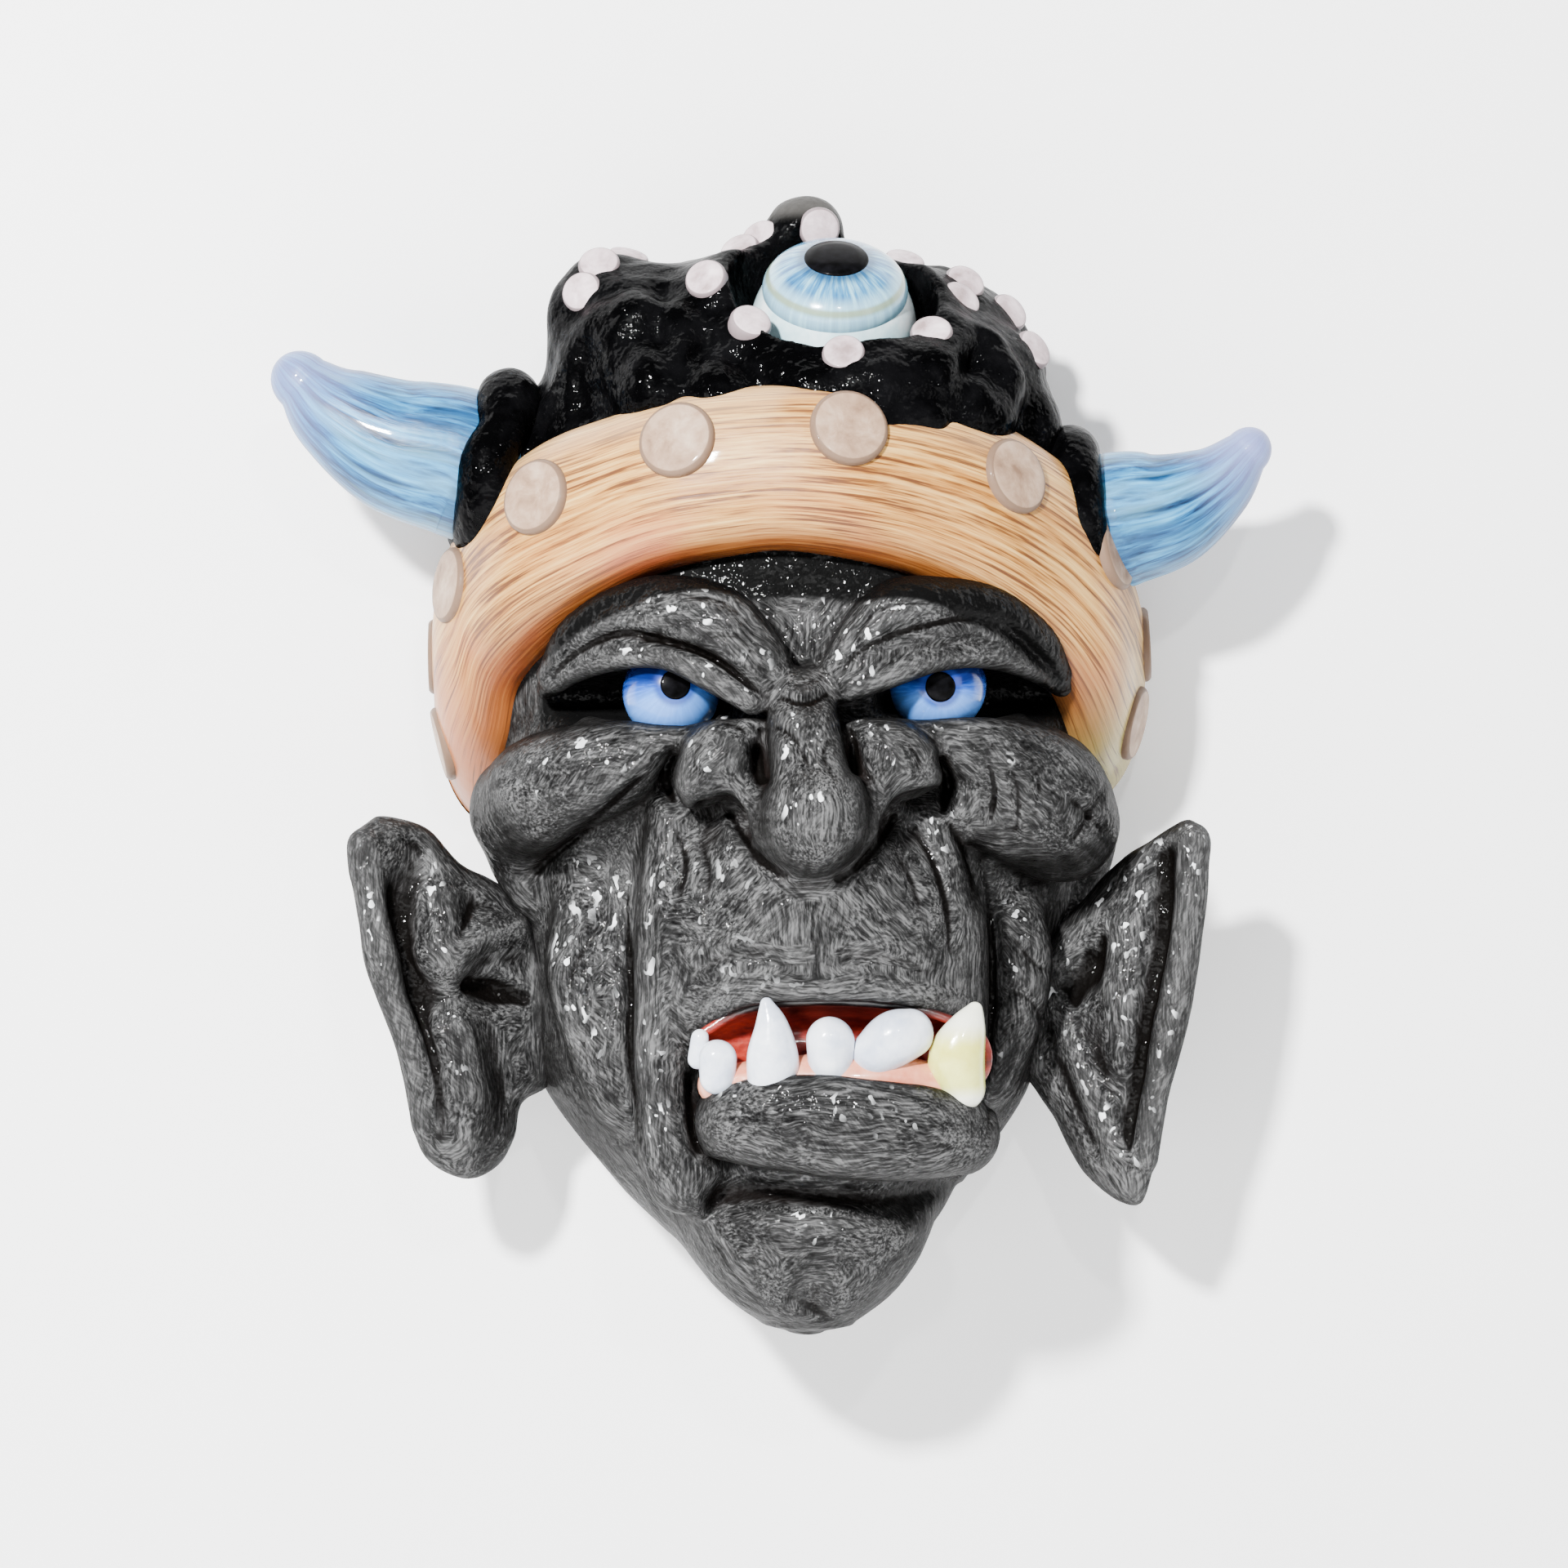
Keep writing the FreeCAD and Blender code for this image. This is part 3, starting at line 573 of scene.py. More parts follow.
def clay_object(name, clay, strokes=False):
    """A mesh of some clay that knows how hollow each point lies, and how its brush strokes run."""
    points, faces = clay.surface()
    obj = make_object(name, points, faces)
    fine = clay.sample(points, clay.blurred(1.6))
    broad = clay.sample(points, clay.blurred(5.0))
    paint_attribute(obj, "hollow_fine", np.clip(-fine / 0.8, -1, 1))
    paint_attribute(obj, "hollow_broad", np.clip(-broad / 2.5, -1, 1))
    if strokes:
        along, normal = straighter_way(clay, points)
        paint_attribute(obj, "stroke", brush_strokes(along, points))
        # Painted shade: 'turned' grows where the surface turns away from the front, to darken the sides.
        paint_attribute(obj, "turned", smoothstep(0.86, 0.15, -normal[:, 1]))
        # Painted highlight: 'gleam' marks where the surface faces that way, for painted white glints.
        paint_attribute(obj, "gleam", smoothstep(0.74, 0.95, normal @ GLEAM_WAY))
        wide = clay.sample(points, clay.blurred(10.0))
        paint_attribute(obj, "hollow_wide", np.clip(-wide / 6.0, -1, 1))
        share = np.maximum(np.abs(along @ np.transpose(HATCH_WAYS)) - 0.55, 0.02) ** 2
        paint_attribute(obj, "hatch", (share / share.sum(1)[:, None])[:, :3])
    return obj


def grid_object(name, rows, streaks=None):
    """A closed mesh from rings of points in millimetres, one ring per row, with flat or pointed ends."""
    rows = np.asarray(rows, float)
    n, m = rows.shape[:2]
    points = rows.reshape(-1, 3)
    faces = [
        (i * m + j, i * m + (j + 1) % m, (i + 1) * m + (j + 1) % m, (i + 1) * m + j)
        for i in range(n - 1)
        for j in range(m)
    ]
    faces.append(tuple(range(m))[::-1])
    faces.append(tuple((n - 1) * m + j for j in range(m)))
    mesh = bpy.data.meshes.new(name)
    mesh.from_pydata([tuple(p * MM) for p in points], [], faces)
    mesh.validate()
    mesh.shade_smooth()
    obj = add_object(name, mesh)
    if streaks is not None:
        paint_attribute(obj, "streak", streaks)
    return obj


def axes_about(axis):
    """Two directions square to an axis and to each other."""
    axis = np.array(axis, float) / np.linalg.norm(axis)
    side = np.cross(axis, (0.0, 0.0, 1.0) if abs(axis[2]) < 0.9 else (1.0, 0.0, 0.0))
    side /= np.linalg.norm(side)
    return axis, side, np.cross(axis, side)


def lathe_object(name, place, axis, profile, around):
    """A turned form: profile is (radius, height along the axis) from bottom to top."""
    axis, side, rise = axes_about(axis)
    turn = np.linspace(0, 2 * math.pi, around, endpoint=False)
    ring = np.cos(turn)[:, None] * side + np.sin(turn)[:, None] * rise
    rows = [np.array(place) + ring * max(r, 0.02) + axis * h for r, h in profile]
    obj = grid_object(name, rows)
    widest = max(r for r, _ in profile)
    share = np.repeat([r / widest for r, _ in profile], around)
    paint_attribute(obj, "reach", share)
    paint_attribute(obj, "height", np.repeat([h for _, h in profile], around))
    return obj


# ---------------------------------------------------------------- the cap, collars and ears
CROWN_EYE = (8.5, -50.0, 47.5)
CROWN_AXIS = (0.03, -0.63, 0.776)
CROWN_RADIUS = 24.5
HORN_ROOTS = {
    "left": ((-88, -34, 6), (-0.976, -0.061, 0.21)),
    "right": ((78, -34, -10), (0.996, -0.066, 0.066)),
}


def sculpt_cap(step):
    """The black lumpy cap, open underneath, with the socket for the crown eye."""
    clay = Clay((-98, -104, -30), (96, 3, 96), step)
    x, y, z = clay.everywhere()
    clay.field[:] = head_distance(x, y, z)
    clay.rope([(-60, -44, 18, 17), (-52, -44, 34, 21), (-50, -40, 46, 20), (-57, -38, 58, 13)], 9)
    clay.rope([(-69, -34, 22, 10), (-63, -36, 40, 12), (-60, -36, 56, 13)], 5)
    clay.rope([(-40, -36, 50, 15), (-24, -32, 52, 14), (-12, -28, 58, 13)], 6)
    clay.rope([(-2, -34, 54, 20), (-1, -31, 66, 15), (1.5, -30, 76.8, 10.6)], 5)
    clay.rope([(-66, -34, 12, 22), (-80, -34, 9, 20), (-90, -34, 8, 18)], 6)
    clay.rope([(58, -34, 2, 22), (70, -34, -6, 20), (82, -34.5, -9, 16)], 6)
    clay.rope([(28, -36, 46, 18), (44, -42, 34, 21), (58, -42, 18, 16)], 7)
    clay.rope([(46, -36, 44, 14), (58, -38, 34, 13), (64, -36, 24, 9)], 5)
    clay.rope([(-40, -72, 28, 13), (-24, -78, 24, 12), (-14, -82, 14, 12)], 8)
    clay.rope([(36, -74, 26, 13), (48, -68, 18, 12)], 8)
    clay.ball((8, -52, 34), (33, 31, 20), 10)
    clay.rope([(-24, -58, 50, 6), (-20, -71, 38, 7.5), (-6, -80, 28, 8.5), (12, -84, 25, 9),
               (30, -79, 28, 8.5), (41, -67, 38, 7.5), (42, -54, 50, 6)], 3)
    clay.rope([(-8, -88, 17, 4.5), (14, -91, 14, 5.5), (36, -85, 18, 4.5)], 3)
    clay.rope([(-50, -66, 34, 8), (-36, -72, 26, 8), (-34, -78, 12, 7)], 4)
    clay.rope([(-56, -60, 44, 8), (-42, -64, 46, 8), (-30, -66, 42, 6)], 4)
    clay.rope([(50, -60, 38, 8), (56, -62, 26, 8), (50, -70, 12, 7)], 4)
    clay.roughen(11, 20, 2.4)
    clay.roughen(12, 9, 1.5)
    clay.roughen(13, 4.5, 0.5)
    for x0, z0, x1, z1 in ((-58, 52, -62, 18), (-40, 60, -36, 26), (-26, 44, -34, 14), (54, 44, 46, 18)):
        clay.crease([(x0, z0), ((x0 + x1) / 2 - 4, (z0 + z1) / 2), (x1, z1)], 3.5, 2.6, front=-20)
    clay.ball((9, -62, 60), 30.5, 3.0, carve=True)
    clay.ball(CROWN_EYE, CROWN_RADIUS + 0.3, 1.0, carve=True)
    hollow_out(clay, -1)
    return clay


def sculpt_collar(side, step):
    """The lumpy black ring a horn grows out of."""
    root, axis = HORN_ROOTS[side]
    axis, across, rise = axes_about(axis)
    middle = np.array(root) + axis * 4
    clay = Clay(middle - 36, middle + 36, step)
    rng = np.random.default_rng(21 if side == "left" else 22)
    turns = np.linspace(0, 2 * math.pi, 13)
    sizes = rng.uniform(7.6, 10.2, 12)
    slides = rng.uniform(-2, 2, 12)
    ring = []
    for i, turn in enumerate(turns):
        spot = middle + 21 * (math.cos(turn) * across + math.sin(turn) * rise) + axis * slides[i % 12]
        ring.append((*spot, sizes[i % 12]))
    clay.rope(ring, 3)
    clay.roughen(23, 8, 0.7)
    clay.roughen(24, 4, 0.3)
    x, y, z = clay.everywhere()
    clay.field = np.maximum(clay.field, y.astype(np.float32))
    clay.field = np.maximum(clay.field, -head_distance(x, y, z, -1.0))
    return clay


EAR_OUTLINES = {
    "left": [(-126, -95.5), (-133, -101), (-134, -108), (-131, -122), (-127, -144), (-119, -168),
             (-116, -185), (-112, -197), (-104, -203), (-97, -203.5), (-90, -199), (-86, -192),
             (-84, -182), (-76, -176), (-74, -160), (-76, -140), (-82, -124), (-92, -116), (-102, -110),
             (-109, -101), (-116, -97)],
    "right": [(113, -97), (118, -101), (118, -115), (115, -144), (109, -168), (104, -190), (102, -204),
              (99, -211), (92, -210), (83, -202), (76, -187), (70, -178), (64, -168), (66, -150),
              (70, -138), (82, -122), (92, -110), (102, -103)],
}
EAR_TILT = {"left": (-104, -40, 0.53), "right": (93, -40, -0.58)}


def outline_distance(x, z, outline):
    """Signed distance in the plane to a closed smooth outline."""
    closed = np.array(outline + outline[:2], float)
    run = spline(closed, 4)[: 4 * len(outline)]
    best = np.full(np.broadcast(x, z).shape, 1e9)
    inside = np.zeros(best.shape, bool)
    for (ax, az), (bx, bz) in zip(run, np.roll(run, -1, 0)):
        dx, dz = bx - ax, bz - az
        t = np.clip(((x - ax) * dx + (z - az) * dz) / max(dx * dx + dz * dz, 1e-6), 0, 1)
        best = np.minimum(best, (x - ax - t * dx) ** 2 + (z - az - t * dz) ** 2)
        crosses = ((az > z) != (bz > z)) & (x < (bx - ax) * (z - az) / (bz - az + 1e-9) + ax)
        inside ^= crosses
    best = np.sqrt(best)
    return np.where(inside, -best, best)


def sculpt_ear(side, step):
    """A big folded ear that flares forward from the side of the head."""
    mid_x, mid_y, tilt = EAR_TILT[side]
    outline = EAR_OUTLINES[side]
    low = (min(p[0] for p in outline) - 4, -84, min(p[1] for p in outline) - 4)
    high = (max(p[0] for p in outline) + 4, -8, max(p[1] for p in outline) + 4)
    clay = Clay(low, high, step)
    x, y, z = clay.everywhere()
    flat = outline_distance(x[:, :, 0], z[:, 0, :], outline)[:, None, :]
    lean = math.hypot(1, tilt)
    depth = (y - (mid_y + (x - mid_x) * tilt)) / lean
    dome = 5.5 + 2.2 * np.clip(-flat / 14, 0, 1)
    round_off = 5.0
    qa, qb = flat + round_off, np.abs(depth) - dome + round_off
    inner = np.minimum(np.maximum(qa, qb), 0)
    outer = np.sqrt(np.maximum(qa, 0) ** 2 + np.maximum(qb, 0) ** 2)
    clay.field[:] = (inner + outer - round_off).astype(np.float32)

    def on_blade(points):
        """Turns (x, z, out, radius) into a point out millimetres before the blade."""
        return [(px, mid_y + (px - mid_x) * tilt - out * lean, pz, r) for px, pz, out, r in points]

    if side == "left":
        clay.rope(on_blade([(-112, -106, 9, 5), (-117, -128, 10, 8), (-112, -150, 10, 7.5),
                            (-109, -168, 10, 5)]), 5, carve=True)
        clay.rope(on_blade([(-107, -122, 5, 6), (-106, -136, 6, 8), (-98, -132, 6, 7),
                            (-88, -130, 4, 6)]), 4)
        clay.rope(on_blade([(-104, -160, 5, 8), (-101, -176, 5, 9), (-101, -190, 4, 8)]), 5)
        clay.rope(on_blade([(-99, -146, 7, 2.5), (-91, -148, 7, 4), (-83, -150, 7, 3)]), 3, carve=True)
        clay.rope(on_blade([(-129, -104, 4, 4), (-126, -124, 5, 4), (-121, -146, 5, 4), (-114, -168, 5, 4),
                            (-111, -186, 4, 4)]), 3)
    else:
        clay.rope(on_blade([(104, -108, 8, 5), (104, -128, 10, 7), (102, -148, 10, 6), (99, -170, 9, 5),
                            (97, -190, 8, 4)]), 4, carve=True)
        clay.rope(on_blade([(84, -140, 8, 6), (78, -148, 8, 5), (90, -135, 8, 5)]), 4, carve=True)
        clay.rope(on_blade([(76, -152, 4, 3.5), (84, -172, 6, 4.5), (92, -194, 5, 4)]), 3)
        clay.rope(on_blade([(94, -128, 4, 4), (93, -146, 5, 4.5), (94, -166, 4, 4)]), 3)
        clay.rope(on_blade([(114, -104, 4, 4), (112, -124, 5, 4.5), (109, -146, 5, 4.5), (104, -170, 5, 4),
                            (100, -196, 4, 4)]), 3)
    clay.roughen(31, 14, 0.8)
    clay.roughen(32, 5, 0.25)
    x, y, z = clay.everywhere()
    clay.field = np.maximum(clay.field, -head_distance(x, y, z, -1.5))
    return clay


# ---------------------------------------------------------------- the band and horns
# The band's edges: turn round the head in degrees, and height.
BAND_TOP_EDGE = [(-97, -24), (-88, -12), (-68, 5), (-53.7, 14.5), (-38, 20.5), (-22.7, 26), (2, 28),
                 (20.6, 26.5), (37.7, 21.5), (52.7, 13.5), (66.5, 3), (84, -16), (97, -27)]
BAND_LOW_EDGE = [(-97, -100), (-84, -92), (-68, -74), (-61.5, -59), (-51, -48), (-38, -36), (-24.5, -26),
                 (-9.8, -21), (0, -20), (15, -24), (25.7, -30), (36.6, -39), (48.4, -51), (57, -64),
                 (64, -75), (72, -83), (97, -92)]
BAND_LIMIT = 97.0
STREAK_ACROSS, STREAK_ALONG = 30.0, 1.6


def band_ring(theta, count):
    """A closed ring across the band at a turn of theta degrees, as points and places across it."""
    top = np.interp(theta, *np.transpose(BAND_TOP_EDGE))
    low = np.interp(theta, *np.transpose(BAND_LOW_EDGE))
    thick = 15.6 - 2.0 * math.sin(math.radians(theta))
    turn = np.linspace(0, 2 * math.pi, count, endpoint=False)
    swell = 1 + 0.05 * math.sin(theta * 0.11 + 1) + 0.04 * math.sin(theta * 0.23)
    rise = np.sign(np.cos(turn)) * np.abs(np.cos(turn)) ** 0.8
    bulge = np.abs(np.sin(turn))
    out = np.where(np.sin(turn) > 0, thick * swell * bulge ** 0.8, -1.5 * bulge)
    z = (top + low) / 2 + rise * (top - low) / 2
    wide, deep, mid_x, mid_y = head_at(z)
    a = math.radians(theta)
    x = mid_x + (wide + out) * math.sin(a)
    y = np.minimum(mid_y - (deep + out) * math.cos(a), 0)
    return np.stack([x, y, z], 1), turn


def smooth_edges(table, steps):
    """A table of (turn, height) resampled smoothly."""
    run = spline(table, 8)
    turns = np.linspace(-BAND_LIMIT, BAND_LIMIT, steps)
    return list(zip(turns, np.interp(turns, run[:, 0], run[:, 1])))


BAND_TOP_EDGE = smooth_edges(BAND_TOP_EDGE, 120)
BAND_LOW_EDGE = smooth_edges(BAND_LOW_EDGE, 120)


def make_band(along, across):
    """The thick rolled band, with coordinates along and across it for its streaks."""
    rows, streaks = [], []
    for theta in np.linspace(-BAND_LIMIT, BAND_LIMIT, along):
        ring, turn = band_ring(theta, across)
        rows.append(ring)
        streaks.extend((math.cos(t) * STREAK_ACROSS, theta * STREAK_ALONG, math.sin(t) * STREAK_ACROSS)
                       for t in turn)
    return grid_object("band", rows, streaks)


HORN_LINES = {
    "left": [(-84, -34, 5, 21), (-96, -34.5, 7, 22), (-104, -35, 10, 22.3), (-122, -37, 14.5, 20),
             (-139, -39, 24, 14.5), (-148.5, -40, 32.5, 9)],
    "right": [(74, -34, -10, 20), (88, -34.5, -9, 20.3), (96, -35, -7.5, 20), (109, -37, -4.5, 17.3),
              (122, -39, 3, 12), (131, -40.5, 12, 7)],
}


HORN_SIDES = 64


def make_horn(side):
    """A blunt horn swept along its curve, with coordinates for lengthwise streaks."""
    run = spline(HORN_LINES[side], 12)
    tip_radius = run[-1, 3]
    heading = run[-1, :3] - run[-3, :3]
    heading /= np.linalg.norm(heading)
    close = []
    for a in np.linspace(0, math.pi / 2, 12)[1:]:
        spot = run[-1, :3] + heading * tip_radius * 1.1 * math.sin(a)
        close.append((*spot, max(tip_radius * math.cos(a), 0.05)))
    run = np.vstack([run, close])
    ahead = np.gradient(run[:, :3], axis=0)
    ahead[-len(close):] = heading
    length = np.concatenate([[0], np.cumsum(np.linalg.norm(np.diff(run[:, :3], axis=0), axis=1))])
    turn = np.linspace(0, 2 * math.pi, HORN_SIDES, endpoint=False)
    rows, streaks = [], []
    for (x, y, z, r), d, s in zip(run, ahead, length):
        d = d / np.linalg.norm(d)
        over = np.cross(d, (0, 1, 0))
        over /= np.linalg.norm(over)
        near = np.cross(over, d)
        wave = r * (1 + 0.012 * np.sin(3 * turn + s * 0.08))
        ring = np.outer(np.cos(turn) * wave, over) + np.outer(np.sin(turn) * wave, near)
        rows.append(np.array((x, y, z)) + ring)
        streaks.extend((math.cos(t), math.sin(t), s / length[-1]) for t in turn)
    return grid_object("horn_" + side, rows, streaks)


# ---------------------------------------------------------------- studs
BAND_STUDS = [(-112, -76), (-117, -49), (-105.6, -27), (-77.5, -4), (-36.5, 12), (12.7, 15), (61, 3),
              (92, -18), (105.6, -44), (100, -68)]
CAP_STUDS = [(4.5, -44, 78.5), (-15.6, -77, 46.3), (11, -84, 36.5), (36.5, -77, 43.7), (46, -59, 56),
             (-28.6, -68, 60), (-19.2, -40, 72), (30, -42, 69.6), (47.5, -36, 62), (-60.5, -46, 66.7),
             (-65.3, -54, 58), (-52, -34, 71.5), (61, -44, 54), (69, -46, 42.7), (-13, -27, 76)]


def stud_object(name, place, out, radius, rise):
    """A domed disc with a rounded rim, sunk a little into what carries it."""
    profile = [(0.02, -5.0), (radius * 0.86, -5.0), (radius, -2.0), (radius, rise * 0.25)]
    for a in np.linspace(0.2, 1, 9):
        turn = a * math.pi / 2
        share = 1 - 0.18 * a if a < 0.5 else 0.91 - (a - 0.5) * 1.8
        profile.append((radius * max(share, 0.02), rise * (0.25 + 0.75 * math.sin(turn) ** 0.7)))
    return lathe_object(name, place, out, profile, 40)


def band_surface_grid():
    """Points and outward directions over the band's outer face."""
    points = np.array([band_ring(t, 96)[0][2:47] for t in np.linspace(-95, 95, 400)])
    along, across = np.gradient(points, axis=0), np.gradient(points, axis=1)
    out = np.cross(across, along)
    out /= np.maximum(np.linalg.norm(out, axis=2), 1e-9)[:, :, None]
    middle = np.array((-3, -8, 0)) * (1, 1, 0)
    flip = ((points - middle) * (1, 1, 0) * out).sum(2) < 0
    out[flip] *= -1
    return points.reshape(-1, 3), out.reshape(-1, 3)


def place_band_studs():
    """Finds each band stud's place, the nearest the band's outer face comes to its height and side."""
    points, out = band_surface_grid()
    found = []
    for x, z in BAND_STUDS:
        cost = np.hypot(points[:, 0] - x, points[:, 2] - z) + 0.03 * points[:, 1]
        cost += 2.0 * np.maximum(points[:, 1] + 13.0, 0)
        i = int(np.argmin(cost))
        found.append((points[i], out[i]))
    return found


def settle(clay, point):
    """Moves a point on to a clay surface, straight back where it can, and says which way is out."""
    near = np.arange(point[1] - 16, point[1] + 18, 0.5)
    ahead = np.array([(point[0], y, point[2]) for y in near], float)
    met = np.argmax(clay.sample(ahead) < 0)
    point = ahead[met:met + 1] if met > 0 else np.array([point], float)
    for _ in range(25):
        slope = clay.slope(point)
        size = max(float((slope ** 2).sum()), 0.2)
        point = point - np.clip(clay.sample(point)[:, None] * slope / size, -2, 2) * 0.7
    soft = clay.slope(point, clay.blurred(4.0))[0]
    return point[0], soft / np.linalg.norm(soft)


# ---------------------------------------------------------------- mouth
TEETH = {
    "tooth_corner": [(-29.5, -97, -166, 3), (-29, -97, -160, 2.6)],
    "tooth_small_left": [(-24, -100, -171, 5), (-24, -101, -165.5, 5.4)],
    "tooth_fang_left": [(-8.6, -101, -175, 6.8), (-8.4, -103, -166, 7.4), (-8.8, -104, -157, 5),
                        (-10.2, -104.5, -150, 2)],
    "tooth_round": [(7.8, -101, -170, 6), (7.8, -103, -160.5, 6.9)],
    "tooth_molar": [(21, -101, -164, 7), (25.7, -102, -160, 8), (30, -101, -158.5, 7)],
    "tooth_fang_right": [(45, -97, -174, 7), (43.5, -99, -166, 8), (46, -100, -158, 5.6),
                         (48.6, -99, -152, 2.4)],
}


TEETH_SHIFT = (-0.8, 0, 1.8, 0)


def sculpt_teeth(step):
    """Each tooth as its own small piece of clay."""
    clays = {}
    for name, run in TEETH.items():
        run = np.array(run) + TEETH_SHIFT
        clay = Clay(run[:, :3].min(0) - 12, run[:, :3].max(0) + 12, step)
        clay.rope(run, 2, flat=1.15, per_span=8)
        clay.roughen(41, 6, 0.25)
        clays[name] = clay
    return clays


# How far forward the mouth's red skin comes.
LINING_FRONT = -96


def sculpt_mouth_lining(step):
    """The red skin inside the mouth."""
    run = np.array(MOUTH_LINE, float)
    clay = Clay((-44, -122, -184), (64, -66, -138), step)
    clay.rope(run + (0, 0, 0, 1.2), 2, flat=MOUTH_FLAT)
    clay.rope(run - (0, 0, 0, 1.6), 2, carve=True, flat=MOUTH_FLAT)
    _, y, _ = clay.everywhere()
    clay.field = np.maximum(clay.field, (LINING_FRONT - y).astype(np.float32))
    return clay


def sculpt_gum(step):
    """The gum ridge the teeth stand on."""
    clay = Clay((-40, -112, -190), (58, -76, -158), step)
    clay.rope([(-25, -95, -172, 5.5), (-10, -97, -171.5, 7.5), (10, -98, -170.5, 8), (30, -97, -171, 7.5),
               (42, -93, -174.5, 6)], 2)
    clay.roughen(42, 7, 0.5)
    return clay


# ---------------------------------------------------------------- paint
class Paint:
    """A procedural material, built up node by node."""

    def __init__(self, name):
        self.material = bpy.data.materials.new(name)
        self.material.use_nodes = True
        self.nodes, self.links = self.material.node_tree.nodes, self.material.node_tree.links
        self.shader = self.nodes["Principled BSDF"]
        self.end = self.nodes["Material Output"]
        self.place = self.node("TexCoord").outputs["Object"]

    def node(self, kind, inputs=None, **settings):
        """Adds a node, with its settings and its inputs by name or number."""
        made = self.nodes.new("ShaderNode" + kind)
        for key, value in settings.items():
            setattr(made, key, value)
        for key, value in (inputs or {}).items():
            if isinstance(value, bpy.types.NodeSocket):
                self.links.new(value, made.inputs[key])
            else:
                made.inputs[key].default_value = value
        return made

    def attribute(self, name, output="Fac"):
        return self.node("Attribute", attribute_name=name).outputs[output]

    def stretched(self, vector, scale):
        """A vector scaled along each axis, so a texture read from it is stretched."""
        return self.node("VectorMath", {0: vector, 1: scale}, operation="MULTIPLY").outputs[0]

    def noise(self, vector, scale, detail=3.0, rough=0.5, twist=0.0):
        inputs = {"Vector": vector, "Scale": scale, "Detail": detail, "Roughness": rough}
        return self.node("TexNoise", {**inputs, "Distortion": twist}).outputs["Fac"]

    def maths(self, operation, a, b=0.0, clamp=False):
        return self.node("Math", {0: a, 1: b}, operation=operation, use_clamp=clamp).outputs[0]

    def spread(self, value, low, high):
        """0 where a value is at low or below, 1 at high, and a smooth rise between."""
        inputs = {"Value": value, 1: low, 2: high, 3: 0.0, 4: 1.0}
        return self.node("MapRange", inputs, interpolation_type="SMOOTHSTEP").outputs[0]

    def times(self, a, b):
        return self.maths("MULTIPLY", a, b)

    def swing(self, value, scale):
        """How far a value is from a half, scaled."""
        return self.times(self.maths("SUBTRACT", value, 0.5), scale)

    def tint(self, colour, where, target, share=1.0, mode="MIX"):
        """Turns a colour towards a target where a value is high, by no more than a share."""
        amount = where if share == 1.0 else self.times(where, share)
        inputs = {0: amount, 6: colour, 7: (*target, 1.0)}
        return self.node("Mix", inputs, data_type="RGBA", blend_type=mode).outputs[2]

    def ramp(self, value, stops):
        made = self.node("ValToRGB", {"Fac": value})
        elements = made.color_ramp.elements
        while len(elements) < len(stops):
            elements.new(0.5)
        for element, (at, colour) in zip(elements, stops):
            element.position, element.color = at, (*colour, 1.0)
        return made.outputs["Color"]

    def bump(self, height, strength, distance, before=None):
        inputs = {"Strength": strength, "Distance": distance, "Height": height}
        if before is not None:
            inputs["Normal"] = before
        return self.node("Bump", inputs).outputs["Normal"]

    def finish(self, colour, roughness, normal=None, coat=0.0, coat_rough=0.05, ior=1.5, varnish=None,
               specular=0.5):
        """Sets the shader: colour and the two normals may be sockets, the rest are plain values."""
        for key, value in (("Base Color", colour), ("Roughness", roughness), ("Normal", normal),
                           ("Coat Normal", varnish)):
            if isinstance(value, bpy.types.NodeSocket):
                self.links.new(value, self.shader.inputs[key])
            elif value is not None:
                self.shader.inputs[key].default_value = value
        self.shader.inputs["Coat Weight"].default_value = coat
        self.shader.inputs["Coat Roughness"].default_value = coat_rough
        self.shader.inputs["IOR"].default_value = ior
        self.shader.inputs["Specular IOR Level"].default_value = specular
        return self.material


